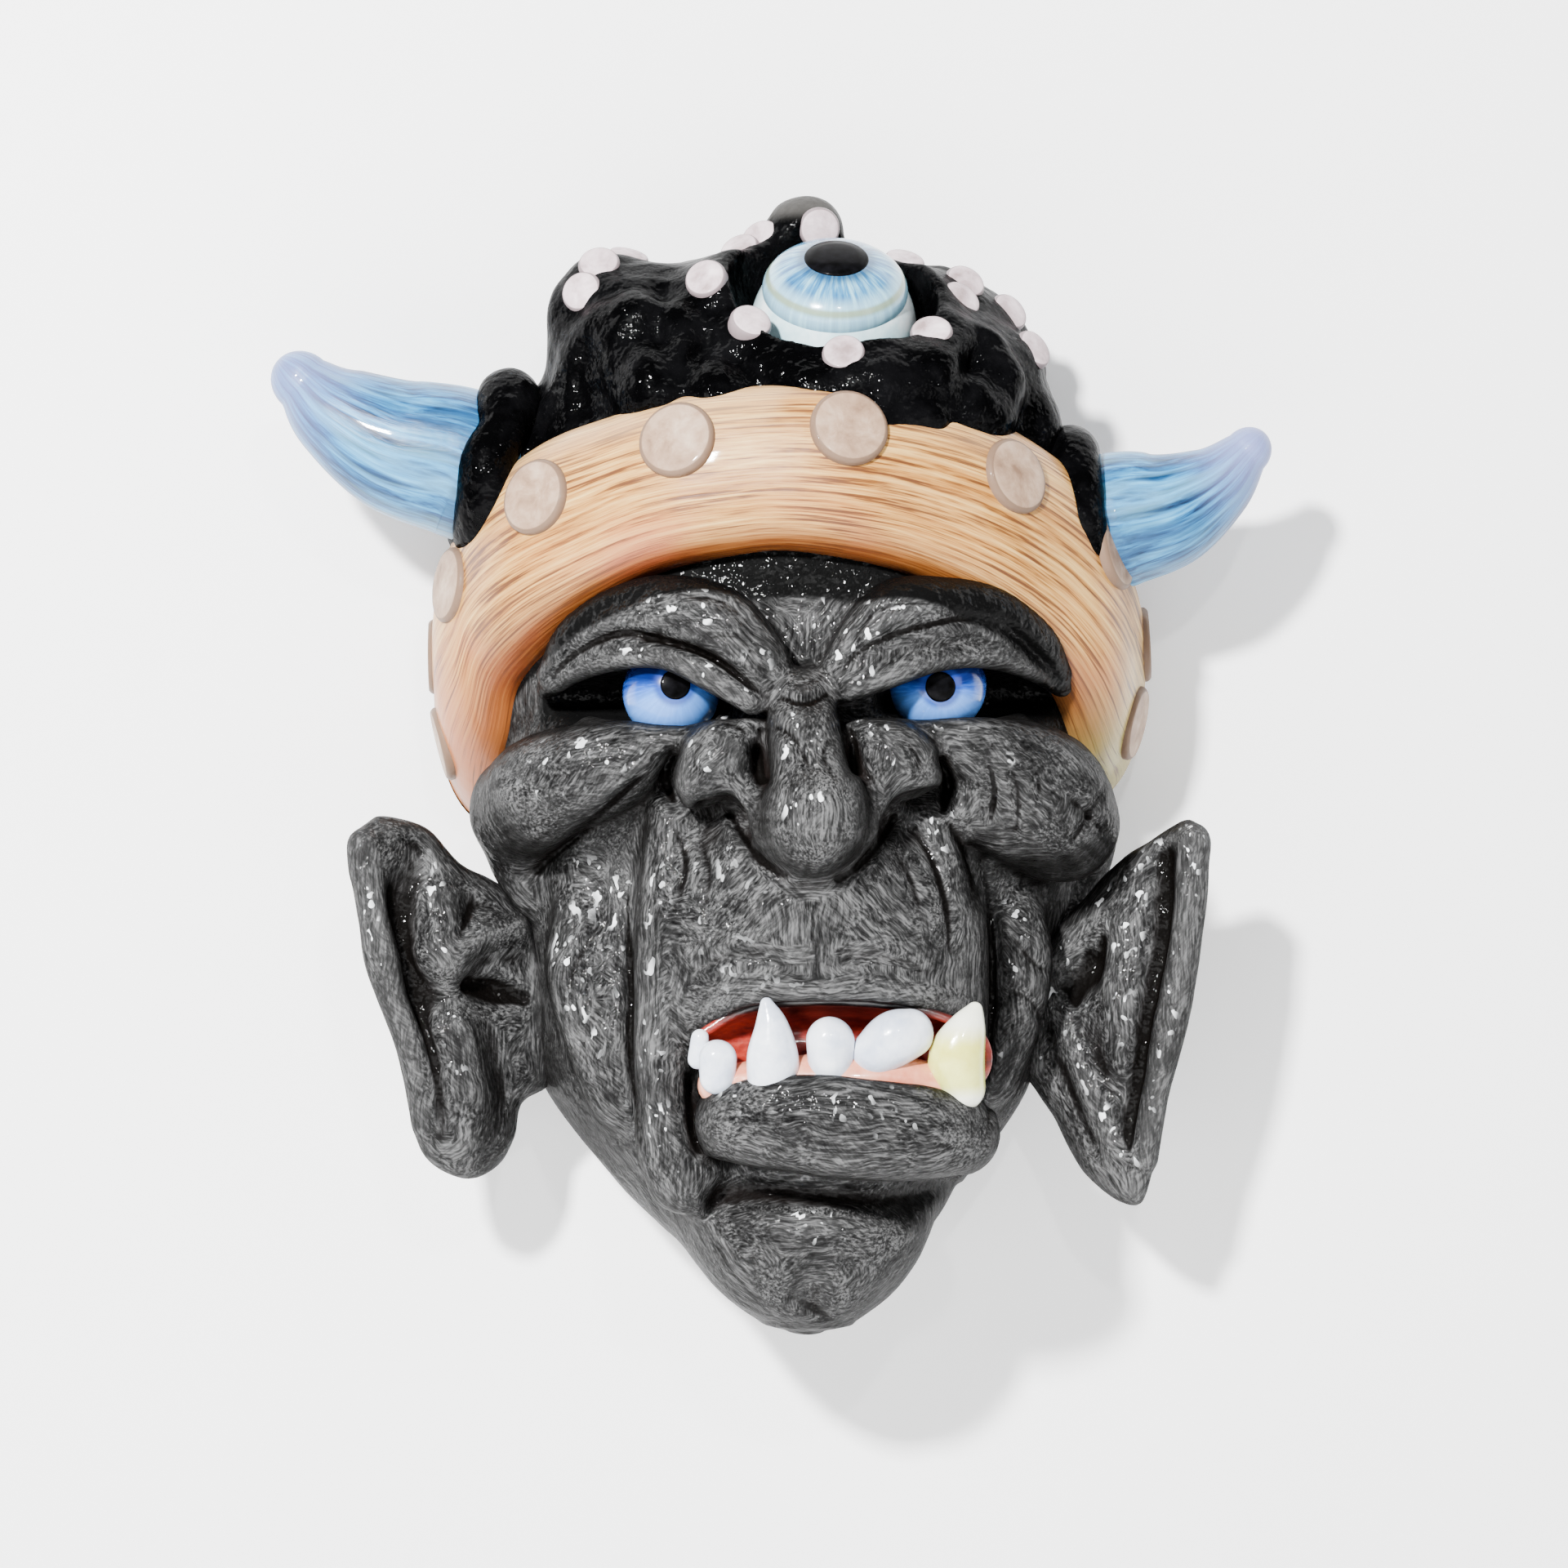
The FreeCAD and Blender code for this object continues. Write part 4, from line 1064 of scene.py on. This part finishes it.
def grey_skin():
    """Charcoal paint under varnish: hair-fine strokes along the forms, brown-black painted shade in the
    hollows and on the turned-away sides, painted highlights on raised parts and painted white glints.
    """
    p = Paint("grey_skin")
    broad = p.noise(p.place, 38.0, 4.0, 0.6)
    sway = p.node("TexNoise", {"Vector": p.place, "Scale": 60.0, "Detail": 2.0}).outputs["Color"]
    sway = p.node("VectorMath", {0: sway, 1: (0.5, 0.5, 0.5)}, operation="SUBTRACT").outputs[0]
    bent = p.node("VectorMath", {0: p.stretched(sway, (0.007, 0.007, 0.007)), 1: p.place}).outputs[0]
    share = p.node("SeparateXYZ", {0: p.attribute("hatch", "Vector")}).outputs
    rest = p.maths("SUBTRACT", 1.0, p.maths("ADD", share[0], p.maths("ADD", share[1], share[2])), True)
    hair = None
    for turn, weight in ((0, share[0]), (90, share[1]), (45, share[2]), (-45, rest)):
        inputs = {"Vector": bent, "Angle": math.radians(-turn)}
        turned = p.node("VectorRotate", inputs, rotation_type="Y_AXIS")
        strand = p.noise(p.stretched(turned.outputs[0], (1.0, 1.0, 0.085)), 1350.0, 2.0, 0.6)
        part = p.times(p.maths("SUBTRACT", strand, 0.5), weight)
        hair = part if hair is None else p.maths("ADD", hair, part)
    stroke = p.attribute("stroke")
    tone = p.maths("ADD", 0.46, p.times(hair, 2.3))
    tone = p.maths("ADD", tone, p.times(stroke, 0.16))
    tone = p.maths("ADD", tone, p.swing(broad, 0.5))
    colour = p.ramp(tone, [(0.0, (0.002, 0.002, 0.002)), (0.32, (0.012, 0.012, 0.012)),
                           (0.55, (0.036, 0.036, 0.036)), (0.85, (0.1, 0.1, 0.1))])
    # Painted highlight: raised parts made lighter grey.
    raised = p.spread(p.attribute("hollow_broad"), -0.1, -0.75)
    colour = p.tint(colour, raised, (0.085, 0.085, 0.085), 0.2)
    # Painted shade: sides turned away from the front darkened.
    turned = p.times(p.attribute("turned"), 0.85)
    colour = p.tint(colour, turned, (0.003, 0.0027, 0.0025))
    # Painted shade: wide hollows, deep hollows and fine creases darkened to brown-black.
    wide = p.times(p.spread(p.attribute("hollow_wide"), 0.0, 0.75), 0.8)
    colour = p.tint(colour, wide, (0.005, 0.0042, 0.004))
    deep = p.spread(p.attribute("hollow_broad"), 0.05, 0.6)
    colour = p.tint(colour, deep, (0.006, 0.004, 0.0035), 0.9)
    crease = p.spread(p.attribute("hollow_fine"), 0.04, 0.3)
    colour = p.tint(colour, crease, (0.0015, 0.0012, 0.001), 0.97)
    # Painted highlight: white glint specks on raised parts that face the glint way.
    painted_glint = p.noise(p.stretched(bent, (1.0, 1.0, 0.7)), 400.0, 1.0, 0.5)
    patch = p.spread(p.noise(p.place, 75.0, 1.0, 0.5), 0.44, 0.56)
    patch = p.times(patch, p.spread(p.attribute("hollow_broad"), 0.0, -0.3))
    painted_glint = p.times(p.spread(painted_glint, 0.63, 0.66), p.times(patch, p.attribute("gleam")))
    colour = p.tint(colour, painted_glint, (0.85, 0.87, 0.88))
    # Black under the band, partly black paint and partly painted shadow of the band, and painted shade in
    # the eye holes.
    under_band = p.spread(p.attribute("shade"), 0.0, 0.7)
    colour = p.tint(colour, under_band, (0.002, 0.002, 0.002))
    normal = p.bump(hair, 0.3, 0.0006)
    normal = p.bump(p.noise(p.place, 380.0, 2.0, 0.6), 0.4, 0.0012, normal)
    beads = p.bump(p.noise(p.place, 230.0, 2.0, 0.55), 0.5, 0.004)
    return p.finish(colour, 0.6, normal, coat=0.12, coat_rough=0.04, varnish=beads, specular=0.02)


def black_gloss():
    """Thick black gloss enamel with a painted grey highlight where its lumps reach highest."""
    p = Paint("black_gloss")
    cloud = p.noise(p.place, 60.0, 4.0, 0.65)
    colour = p.ramp(cloud, [(0.45, (0.0005, 0.0005, 0.0006)), (0.85, (0.004, 0.004, 0.0045))])
    # Painted highlight: lighter grey on the top of the highest lump.
    top_highlight = p.spread(p.attribute("shade"), 0.0, 1.0)
    colour = p.tint(colour, top_highlight, (0.07, 0.067, 0.063), 0.7)
    normal = p.bump(p.noise(p.place, 150.0, 3.0, 0.5), 0.4, 0.003)
    normal = p.bump(p.noise(p.place, 700.0, 2.0, 0.5), 0.15, 0.0007, normal)
    beads = p.bump(p.noise(p.place, 210.0, 2.0, 0.55), 0.5, 0.004)
    return p.finish(colour, 0.3, normal, coat=0.07, coat_rough=0.03, ior=1.3, varnish=beads,
                    specular=0.01)


def cream_band():
    """Cream band with ochre strokes along it, a pink tone of painted shade below, a darker lower rim of
    painted shade and paler painted light above.
    """
    p = Paint("cream_band")
    lengthwise = p.attribute("streak", "Vector")
    fine = p.noise(p.stretched(lengthwise, (1.0, 0.035, 1.0)), 0.8, 4.0, 0.68)
    wide = p.noise(p.stretched(lengthwise, (0.32, 0.022, 0.32)), 0.8, 4.0, 0.65)
    colour = p.ramp(fine, [(0.33, (0.03, 0.008, 0.001)), (0.42, (0.18, 0.065, 0.01)),
                           (0.5, (0.42, 0.2, 0.045)), (0.66, (0.62, 0.39, 0.13))])
    golden = p.spread(wide, 0.44, 0.66)
    colour = p.tint(colour, golden, (0.34, 0.13, 0.022), 0.45)
    cloud = p.noise(p.place, 17.0, 3.0, 0.5)
    height = p.attribute("height")
    # Painted shade: a pink tone on the lower half of the band, which faces down.
    low = p.spread(height, 0.05, -0.75)
    pink_underside_shade = p.times(low, p.spread(cloud, 0.38, 0.6))
    colour = p.tint(colour, pink_underside_shade, (0.45, 0.13, 0.06), 0.6)
    # Painted shade: the lower rim darkened.
    edge = p.spread(height, -0.5, -0.97)
    colour = p.tint(colour, edge, (0.34, 0.12, 0.035), 0.85, "MULTIPLY")
    ends = p.times(p.attribute("left_end"), 0.8)
    colour = p.tint(colour, ends, (0.38, 0.12, 0.03))
    green = p.times(p.attribute("right_end"), 0.7)
    colour = p.tint(colour, green, (0.32, 0.31, 0.09))
    colour = p.tint(colour, p.spread(fine, 0.45, 0.34), (0.1, 0.032, 0.008))
    # Painted light: paler patches on the upper half of the band.
    pale = p.times(p.spread(height, 0.1, 0.8), p.spread(cloud, 0.6, 0.4))
    colour = p.tint(colour, pale, (0.66, 0.46, 0.25), 0.3)
    normal = p.bump(fine, 0.25, 0.0008)
    normal = p.bump(p.noise(p.place, 60.0, 3.0, 0.5), 0.2, 0.003, normal)
    return p.finish(colour, 0.45, normal, coat=0.16, coat_rough=0.05, specular=0.3)


def blue_horn(name, lavender_tip):
    """Sky blue horn with dark lengthwise strokes, turning lavender at the tip."""
    p = Paint(name)
    around = p.attribute("streak", "Vector")
    fine = p.noise(p.stretched(around, (1.0, 1.0, 0.42)), 8.5, 4.0, 0.62, 0.4)
    wide = p.noise(p.stretched(around, (1.0, 1.0, 0.5)), 2.6, 3.0, 0.55, 0.3)
    colour = p.ramp(fine, [(0.34, (0.001, 0.009, 0.03)), (0.45, (0.004, 0.052, 0.15)),
                           (0.56, (0.015, 0.16, 0.35)), (0.74, (0.07, 0.34, 0.58))])
    colour = p.tint(colour, p.spread(wide, 0.52, 0.38), (0.014, 0.07, 0.15), 0.55)
    colour = p.tint(colour, p.spread(wide, 0.5, 0.66), (0.16, 0.5, 0.74), 0.35)
    split = p.node("SeparateXYZ", {0: around})
    tip = p.times(p.spread(split.outputs[2], 0.55, 1.0), lavender_tip)
    colour = p.tint(colour, tip, (0.22, 0.25, 0.5))
    root = p.times(p.spread(split.outputs[2], 0.3, 0.12), 0.6)
    colour = p.tint(colour, root, (0.012, 0.05, 0.11))
    normal = p.bump(fine, 0.3, 0.0012)
    normal = p.bump(p.noise(p.place, 55.0, 3.0, 0.5), 0.25, 0.003, normal)
    return p.finish(colour, 0.4, normal, coat=0.2, coat_rough=0.05, specular=0.25)


def stud_paint(name, pale, mid, dark, outline):
    """A painted disc: mottled, with a thin dark line round its rim."""
    p = Paint(name)
    cloud = p.noise(p.place, 120.0, 4.0, 0.62, 0.3)
    colour = p.ramp(cloud, [(0.3, dark), (0.5, mid), (0.68, pale)])
    rim = p.spread(p.attribute("reach"), 0.87, 0.91)
    colour = p.tint(colour, rim, outline, 0.95)
    ring = p.times(p.spread(p.attribute("reach"), 0.6, 0.8), 0.35)
    colour = p.tint(colour, ring, mid)
    normal = p.bump(p.noise(p.place, 300.0, 3.0, 0.5), 0.25, 0.001)
    return p.finish(colour, 0.5, normal, coat=0.12, coat_rough=0.06, specular=0.1)


def glass_eye():
    """Cornflower blue eye: fine rays, darker above as painted shade under the lid, paler below as painted
    light, and a dark ring by the pupil.
    """
    p = Paint("blue_glass_eye")
    rays = p.noise(p.stretched(p.attribute("ray", "Vector"), (1.0, 1.0, 0.25)), 9.0, 3.0, 0.6)
    colour = p.ramp(rays, [(0.3, (0.004, 0.025, 0.2)), (0.5, (0.014, 0.075, 0.42)),
                           (0.7, (0.07, 0.2, 0.64))])
    split = p.node("SeparateXYZ", {0: p.attribute("ray", "Vector")})
    # Painted light: paler below.
    low = p.spread(split.outputs[1], 0.1, -0.55)
    colour = p.tint(colour, low, (0.1, 0.28, 0.7), 0.75)
    # Painted shade: darker above, under the lid.
    high = p.spread(split.outputs[1], -0.15, 0.3)
    colour = p.tint(colour, high, (0.002, 0.006, 0.06), 0.95)
    near = p.spread(split.outputs[2], 0.5, 0.36)
    colour = p.tint(colour, near, (0.01, 0.03, 0.2), 0.8)
    return p.finish(colour, 0.2, None, coat=0.4, coat_rough=0.02, specular=0.2)


def pupil_black(name):
    """Deep black with the faintest clouding."""
    p = Paint(name)
    cloud = p.noise(p.place, 400.0, 2.0)
    colour = p.ramp(cloud, [(0.3, (0.001, 0.001, 0.001)), (0.8, (0.004, 0.004, 0.005))])
    return p.finish(colour, 0.3, None, coat=0.04, coat_rough=0.04, specular=0.01)


def crown_sclera():
    """Pale icy white of the crown eye."""
    p = Paint("pale_sclera")
    cloud = p.noise(p.place, 70.0, 4.0, 0.6)
    colour = p.ramp(cloud, [(0.3, (0.32, 0.55, 0.62)), (0.5, (0.58, 0.78, 0.82)),
                            (0.65, (0.82, 0.91, 0.93))])
    normal = p.bump(p.noise(p.place, 160.0, 2.0), 0.15, 0.001)
    return p.finish(colour, 0.25, normal, coat=0.8, coat_rough=0.05)


def crown_iris():
    """Blue iris with rays, a pale middle band and a thin olive ring near its edge."""
    p = Paint("pale_blue_iris")
    ray = p.attribute("ray", "Vector")
    rays = p.noise(p.stretched(ray, (1.0, 1.0, 0.2)), 11.0, 3.0, 0.6)
    colour = p.ramp(rays, [(0.28, (0.008, 0.06, 0.18)), (0.48, (0.045, 0.19, 0.36)),
                           (0.68, (0.22, 0.48, 0.6))])
    reach = p.node("SeparateXYZ", {0: ray}).outputs[2]
    inner = p.spread(reach, 0.62, 0.46)
    colour = p.tint(colour, inner, (0.008, 0.04, 0.1), 0.8)
    outer = p.spread(reach, 0.72, 0.9)
    colour = p.tint(colour, outer, (0.4, 0.66, 0.74), 0.5)
    ring = p.times(p.spread(reach, 0.88, 0.915), p.spread(reach, 0.97, 0.935))
    colour = p.tint(colour, ring, (0.2, 0.24, 0.12), 0.8)
    normal = p.bump(p.noise(p.place, 180.0, 2.0), 0.12, 0.001)
    return p.finish(colour, 0.2, normal, coat=0.5, coat_rough=0.03, specular=0.3)


def enamel(name, pale, mid, scale=90.0, rough=0.22, shade=None):
    """Tooth enamel or gum: gently clouded and glossy, with an optional shade towards its foot."""
    p = Paint(name)
    colour = p.ramp(p.noise(p.place, scale, 4.0, 0.6), [(0.32, mid), (0.62, pale)])
    if shade is not None:
        colour = p.tint(colour, p.attribute("shade"), shade, 0.8)
    # Painted shade: creases darkened.
    crease = p.spread(p.attribute("hollow_fine"), 0.1, 0.6)
    colour = p.tint(colour, crease, crease_shade_colour(mid), 0.5)
    normal = p.bump(p.noise(p.place, 240.0, 2.0), 0.18, 0.001)
    return p.finish(colour, rough, normal, coat=0.8, coat_rough=0.06)


def crease_shade_colour(colour):
    """A darker, warmer version of a colour, for painted shade in creases."""
    return (colour[0] * 0.5, colour[1] * 0.35, colour[2] * 0.3)


def red_mouth():
    """Deep red lining that turns almost black at the top, painted shade under the upper lip."""
    p = Paint("red_mouth")
    strokes = p.noise(p.stretched(p.place, (1.0, 1.0, 3.0)), 140.0, 4.0, 0.6)
    colour = p.ramp(strokes, [(0.3, (0.08, 0.004, 0.003)), (0.55, (0.27, 0.018, 0.01)),
                              (0.75, (0.46, 0.06, 0.035))])
    # Painted shade: near black at the top, under the upper lip.
    top = p.spread(p.attribute("shade"), 0.0, 1.0)
    colour = p.tint(colour, top, (0.004, 0.001, 0.001))
    normal = p.bump(p.noise(p.place, 200.0, 3.0), 0.3, 0.001)
    return p.finish(colour, 0.4, normal, coat=0.5, coat_rough=0.1)


def bare_wood():
    """Plain pine with grain along the bar."""
    p = Paint("bare_wood")
    grain = p.noise(p.stretched(p.place, (0.06, 1.0, 1.0)), 330.0, 4.0, 0.6, 0.5)
    colour = p.ramp(grain, [(0.3, (0.36, 0.2, 0.09)), (0.5, (0.55, 0.35, 0.18)),
                            (0.7, (0.7, 0.49, 0.28))])
    normal = p.bump(grain, 0.2, 0.0004)
    return p.finish(colour, 0.6, normal)


def show(piece, node, paint):
    """Hangs a piece on the frame in place of a CAD node."""
    piece.name = node + "_look"
    piece.data.materials.clear()
    piece.data.materials.append(paint)
    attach(piece, "root")
    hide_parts(node)


def positions(obj):
    """An object's vertices in millimetres."""
    co = np.empty(len(obj.data.vertices) * 3, np.float32)
    obj.data.vertices.foreach_get("co", co)
    return co.reshape(-1, 3).astype(float) / MM


def ray_attribute(obj, place, axis, radius):
    """Stores, for an eye, where each point lies round its gaze and how far out it is."""
    axis, side, rise = axes_about(axis)
    if rise[2] < 0:
        rise = -rise
    rel = positions(obj) - np.array(place)
    u, v = rel @ side, rel @ rise
    out = np.hypot(u, v)
    ray = np.stack([u / np.maximum(out, 1e-6), v / np.maximum(out, 1e-6), out / radius], 1)
    paint_attribute(obj, "ray", ray)


# Where the band's lower edge meets the face: x and height.
BAND_ON_FACE = [(-97, -75), (-90, -58), (-80, -46), (-64, -34), (-44, -25), (-20, -21), (0, -20),
                (23, -23), (40, -28), (56, -36), (71, -48), (86, -74), (92, -84)]


def build_face(paint):
    clay = sculpt_face(1.15)
    finish_face(clay)
    face = clay_object("face", clay, strokes=True)
    x, y, z = positions(face).T
    out = np.abs(x)
    # The black strip under the band: partly black forehead paint, partly painted shadow cast by the band.
    strip = 9.0 + 4.0 * smoothstep(34, 14, out)
    under_band = z - np.interp(x, *np.transpose(BAND_ON_FACE)) + strip
    shade = smoothstep(-1.5, 2.5, under_band) * smoothstep(-20, -40, y)
    # Painted shade: the eye holes behind the eyeballs are painted black, by width, height and depth.
    recess = smoothstep(18, 22, out) * smoothstep(80, 74, out) * smoothstep(-46, -50, z)
    recess *= smoothstep(-77, -72, z) * smoothstep(-82 + 0.16 * out, -78 + 0.16 * out, y)
    paint_attribute(face, "shade", np.maximum(shade, 0.95 * recess))
    show(face, "face_shell", paint)


def build_cap(paint):
    clay = sculpt_cap(1.1)
    cap = clay_object("cap", clay)
    p = positions(cap)
    # Painted highlight on the top of the cap, used by the black gloss.
    paint_attribute(cap, "shade", smoothstep(79, 86, p[:, 2]))
    show(cap, "skull_cap", paint)
    for side in HORN_ROOTS:
        collar = clay_object("collar_" + side, sculpt_collar(side, 1.0))
        paint_attribute(collar, "shade", np.zeros(len(collar.data.vertices)))
        show(collar, "horn_collar_" + side, paint)
    return clay


def build_ears(paint):
    for side in EAR_OUTLINES:
        ear = clay_object("ear_" + side, sculpt_ear(side, 1.05), strokes=True)
        paint_attribute(ear, "shade", np.zeros(len(ear.data.vertices)))
        show(ear, "ear_" + side, paint)


def build_band():
    band = make_band(260, 64)
    p = positions(band)
    streak = np.empty(len(p) * 3, np.float32)
    band.data.attributes["streak"].data.foreach_get("vector", streak)
    across = streak.reshape(-1, 3)[:, 0] / STREAK_ACROSS
    theta = streak.reshape(-1, 3)[:, 1] / STREAK_ALONG
    paint_attribute(band, "height", across)
    paint_attribute(band, "left_end", smoothstep(-52, -84, theta) * smoothstep(-20, -80, p[:, 2]))
    paint_attribute(band, "right_end", smoothstep(50, 76, theta) * smoothstep(-30, -80, p[:, 2]))
    show(band, "head_band", cream_band())


def build_horns():
    for side, tip in (("left", 0.55), ("right", 0.85)):
        horn = make_horn(side)
        show(horn, "horn_" + side, blue_horn("blue_horn_" + side, tip))


def build_studs(cap_clay):
    band_paint = stud_paint("band_stud", (0.46, 0.34, 0.25), (0.32, 0.21, 0.14), (0.18, 0.105, 0.065),
                            (0.05, 0.025, 0.015))
    for i, (place, out) in enumerate(place_band_studs(), 1):
        stud = stud_object("stud", place - 0.6 * out, out, 11.3, 2.0)
        show(stud, "band_stud_%02d" % i, band_paint)
    cap_paint = stud_paint("cap_stud", (0.7, 0.6, 0.62), (0.5, 0.4, 0.42), (0.26, 0.19, 0.19),
                           (0.03, 0.02, 0.02))
    for i, guess in enumerate(CAP_STUDS, 1):
        place, out = settle(cap_clay, guess)
        out = out + (0, -0.55, 0)
        stud = stud_object("stud", place - 0.6 * out, out, 6.2, 2.0)
        show(stud, "cap_stud_%02d" % i, cap_paint)


def dome(place_radius, low, high, steps):
    """Profile points of a sphere between two turns from its top, as (radius, height)."""
    return [
        (place_radius * math.sin(math.radians(a)), place_radius * math.cos(math.radians(a)))
        for a in np.linspace(low, high, steps)
    ]


def build_eyes():
    eye_paint, pupil_paint = glass_eye(), pupil_black("black_pupil")
    gaze = {"left": (0.11, -1.0, 0.14), "right": (0.02, -1.0, -0.06)}
    for side, place in EYES.items():
        profile = dome(EYE_RADIUS, 178, 2, 48)
        eye = lathe_object("eye", place, gaze[side], profile, 64)
        ray_attribute(eye, place, gaze[side], EYE_RADIUS)
        show(eye, "eye_" + side, eye_paint)
        cap = [(0.02, EYE_RADIUS - 1.2)] + dome(EYE_RADIUS + 0.25, 17.5, 1, 8)
        pupil = lathe_object("pupil", place, gaze[side], cap, 48)
        show(pupil, "pupil_" + side, pupil_paint)
    place = np.array(CROWN_EYE)
    axis = np.array(CROWN_AXIS)
    white = lathe_object("crown_white", place, axis, dome(CROWN_RADIUS, 178, 2, 64), 96)
    show(white, "crown_eye_white", crown_sclera())
    lens = [(0.02, 10.0), (20.4, 10.0), (21.2, 11.8), (21.3, 13.4)]
    bow = np.linspace(0.06, math.pi / 2 - 0.02, 22)
    lens += [(21.3 * math.cos(a), 13.4 + 11.8 * math.sin(a)) for a in bow]
    iris = lathe_object("crown_iris", place, axis, lens, 96)
    ray_attribute(iris, place, axis, 21.5)
    show(iris, "crown_eye_iris", crown_iris())
    top = [(0.02, 20.0), (9.2, 20.0), (9.4, 24.1), (9.0, 24.6), (6.0, 25.3), (3.0, 25.7), (0.05, 25.8)]
    pupil = lathe_object("crown_pupil", place, axis, top, 64)
    show(pupil, "crown_eye_pupil", pupil_paint)


def build_mouth():
    lining = clay_object("lining", sculpt_mouth_lining(1.0))
    p = positions(lining)
    # Painted shade near the top of the lining, under the upper lip.
    paint_attribute(lining, "shade", smoothstep(-157, -149, p[:, 2]))
    show(lining, "mouth_lining", red_mouth())
    gum = clay_object("gum", sculpt_gum(1.0))
    pink = enamel("pink_gum", (0.7, 0.3, 0.19), (0.5, 0.13, 0.07), 110.0, 0.3)
    show(gum, "lower_gum", pink)
    white = enamel("white_tooth", (0.8, 0.84, 0.9), (0.48, 0.54, 0.66))
    yellow = enamel("yellow_fang", (0.74, 0.75, 0.2), (0.6, 0.57, 0.1), 90.0, 0.22, (0.93, 0.95, 0.9))
    for name, clay in sculpt_teeth(0.55).items():
        tooth = clay_object(name, clay)
        if name == "tooth_fang_right":
            z = positions(tooth)[:, 2]
            paint_attribute(tooth, "shade", smoothstep(-161, -153, z) + smoothstep(-171, -176, z))
            show(tooth, name, yellow)
        else:
            show(tooth, name, white)


def build_wood():
    wood = bare_wood()
    for name in ("hanging_bar", "horn_peg_left", "horn_peg_right"):
        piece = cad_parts[name]
        piece.data.materials.clear()
        piece.data.materials.append(wood)


skin, enamel_black = grey_skin(), black_gloss()
build_face(skin)
build_ears(skin)
cap_clay = build_cap(enamel_black)
build_band()
build_horns()
build_studs(cap_clay)
build_eyes()
build_mouth()
build_wood()


# ---------------------------------------------------------------- camera, light and stage
LIGHT_TARGET = (0, -0.05, -0.08)
WALL_PLACE, FLOOR_PLACE, STAGE_SIZE = 0.012, -0.45, 6.0


def add_camera():
    """A long lens straight in front."""
    data = bpy.data.cameras.new("camera")
    data.lens, data.sensor_width = 100.0, 36.0
    cam = add_object("camera", data)
    cam.location = Vector((-6.0, -1330.0, -86.4)) * MM
    cam.rotation_euler = (math.radians(90), 0, 0)
    bpy.context.scene.camera = cam


def add_area(name, place, size, power):
    """A square lamp at a place in metres, turned to the middle of the face."""
    data = bpy.data.lights.new(name, "AREA")
    data.size, data.energy = size, power
    lamp = add_object(name, data)
    lamp.location = place
    lamp.rotation_mode = "QUATERNION"
    lamp.rotation_quaternion = (Vector(LIGHT_TARGET) - Vector(place)).to_track_quat("-Z", "Y")


def add_stage():
    """A pale floor far below, and a pale wall close behind that can only be seen from its front."""
    p = Paint("stage_floor")
    p.finish(p.ramp(p.noise(p.place, 3.0), [(0.3, (0.86, 0.86, 0.86)), (0.7, (0.9, 0.9, 0.9))]), 0.9)
    bpy.ops.mesh.primitive_plane_add(size=STAGE_SIZE, location=(0, 0, FLOOR_PLACE))
    floor = bpy.context.object
    floor.name = "floor"
    floor.data.materials.append(p.material)
    p = Paint("stage_wall")
    tone = p.ramp(p.noise(p.place, 3.0), [(0.3, (0.93, 0.93, 0.93)), (0.7, (0.95, 0.95, 0.95))])
    diffuse = p.node("BsdfDiffuse", {"Color": tone})
    clear = p.node("BsdfTransparent")
    behind = p.node("NewGeometry").outputs["Backfacing"]
    glow = p.node("Emission", {"Color": tone, "Strength": 0.27})
    lit = p.node("AddShader", {0: diffuse.outputs[0], 1: glow.outputs[0]})
    mix = p.node("MixShader", {0: behind, 1: lit.outputs[0], 2: clear.outputs[0]})
    p.links.new(mix.outputs[0], p.end.inputs[0])
    upright = (math.radians(90), 0, 0)
    bpy.ops.mesh.primitive_plane_add(size=STAGE_SIZE, location=(0, WALL_PLACE, 0), rotation=upright)
    wall = bpy.context.object
    wall.name = "wall"
    wall.data.materials.append(p.material)


def add_world():
    world = bpy.data.worlds.new("world")
    world.use_nodes = True
    background = world.node_tree.nodes["Background"]
    background.inputs[0].default_value = (0.92, 0.95, 1.0, 1.0)
    background.inputs[1].default_value = 0.14
    bpy.context.scene.world = world


add_camera()
add_area("key", (-0.5, -1.3, 0.5), 0.11, 88)
add_area("glint", (0.16, -1.3, 0.46), 0.05, 5)
add_area("fill", (0.95, -0.9, 0.1), 0.4, 1.5)
add_stage()
add_world()
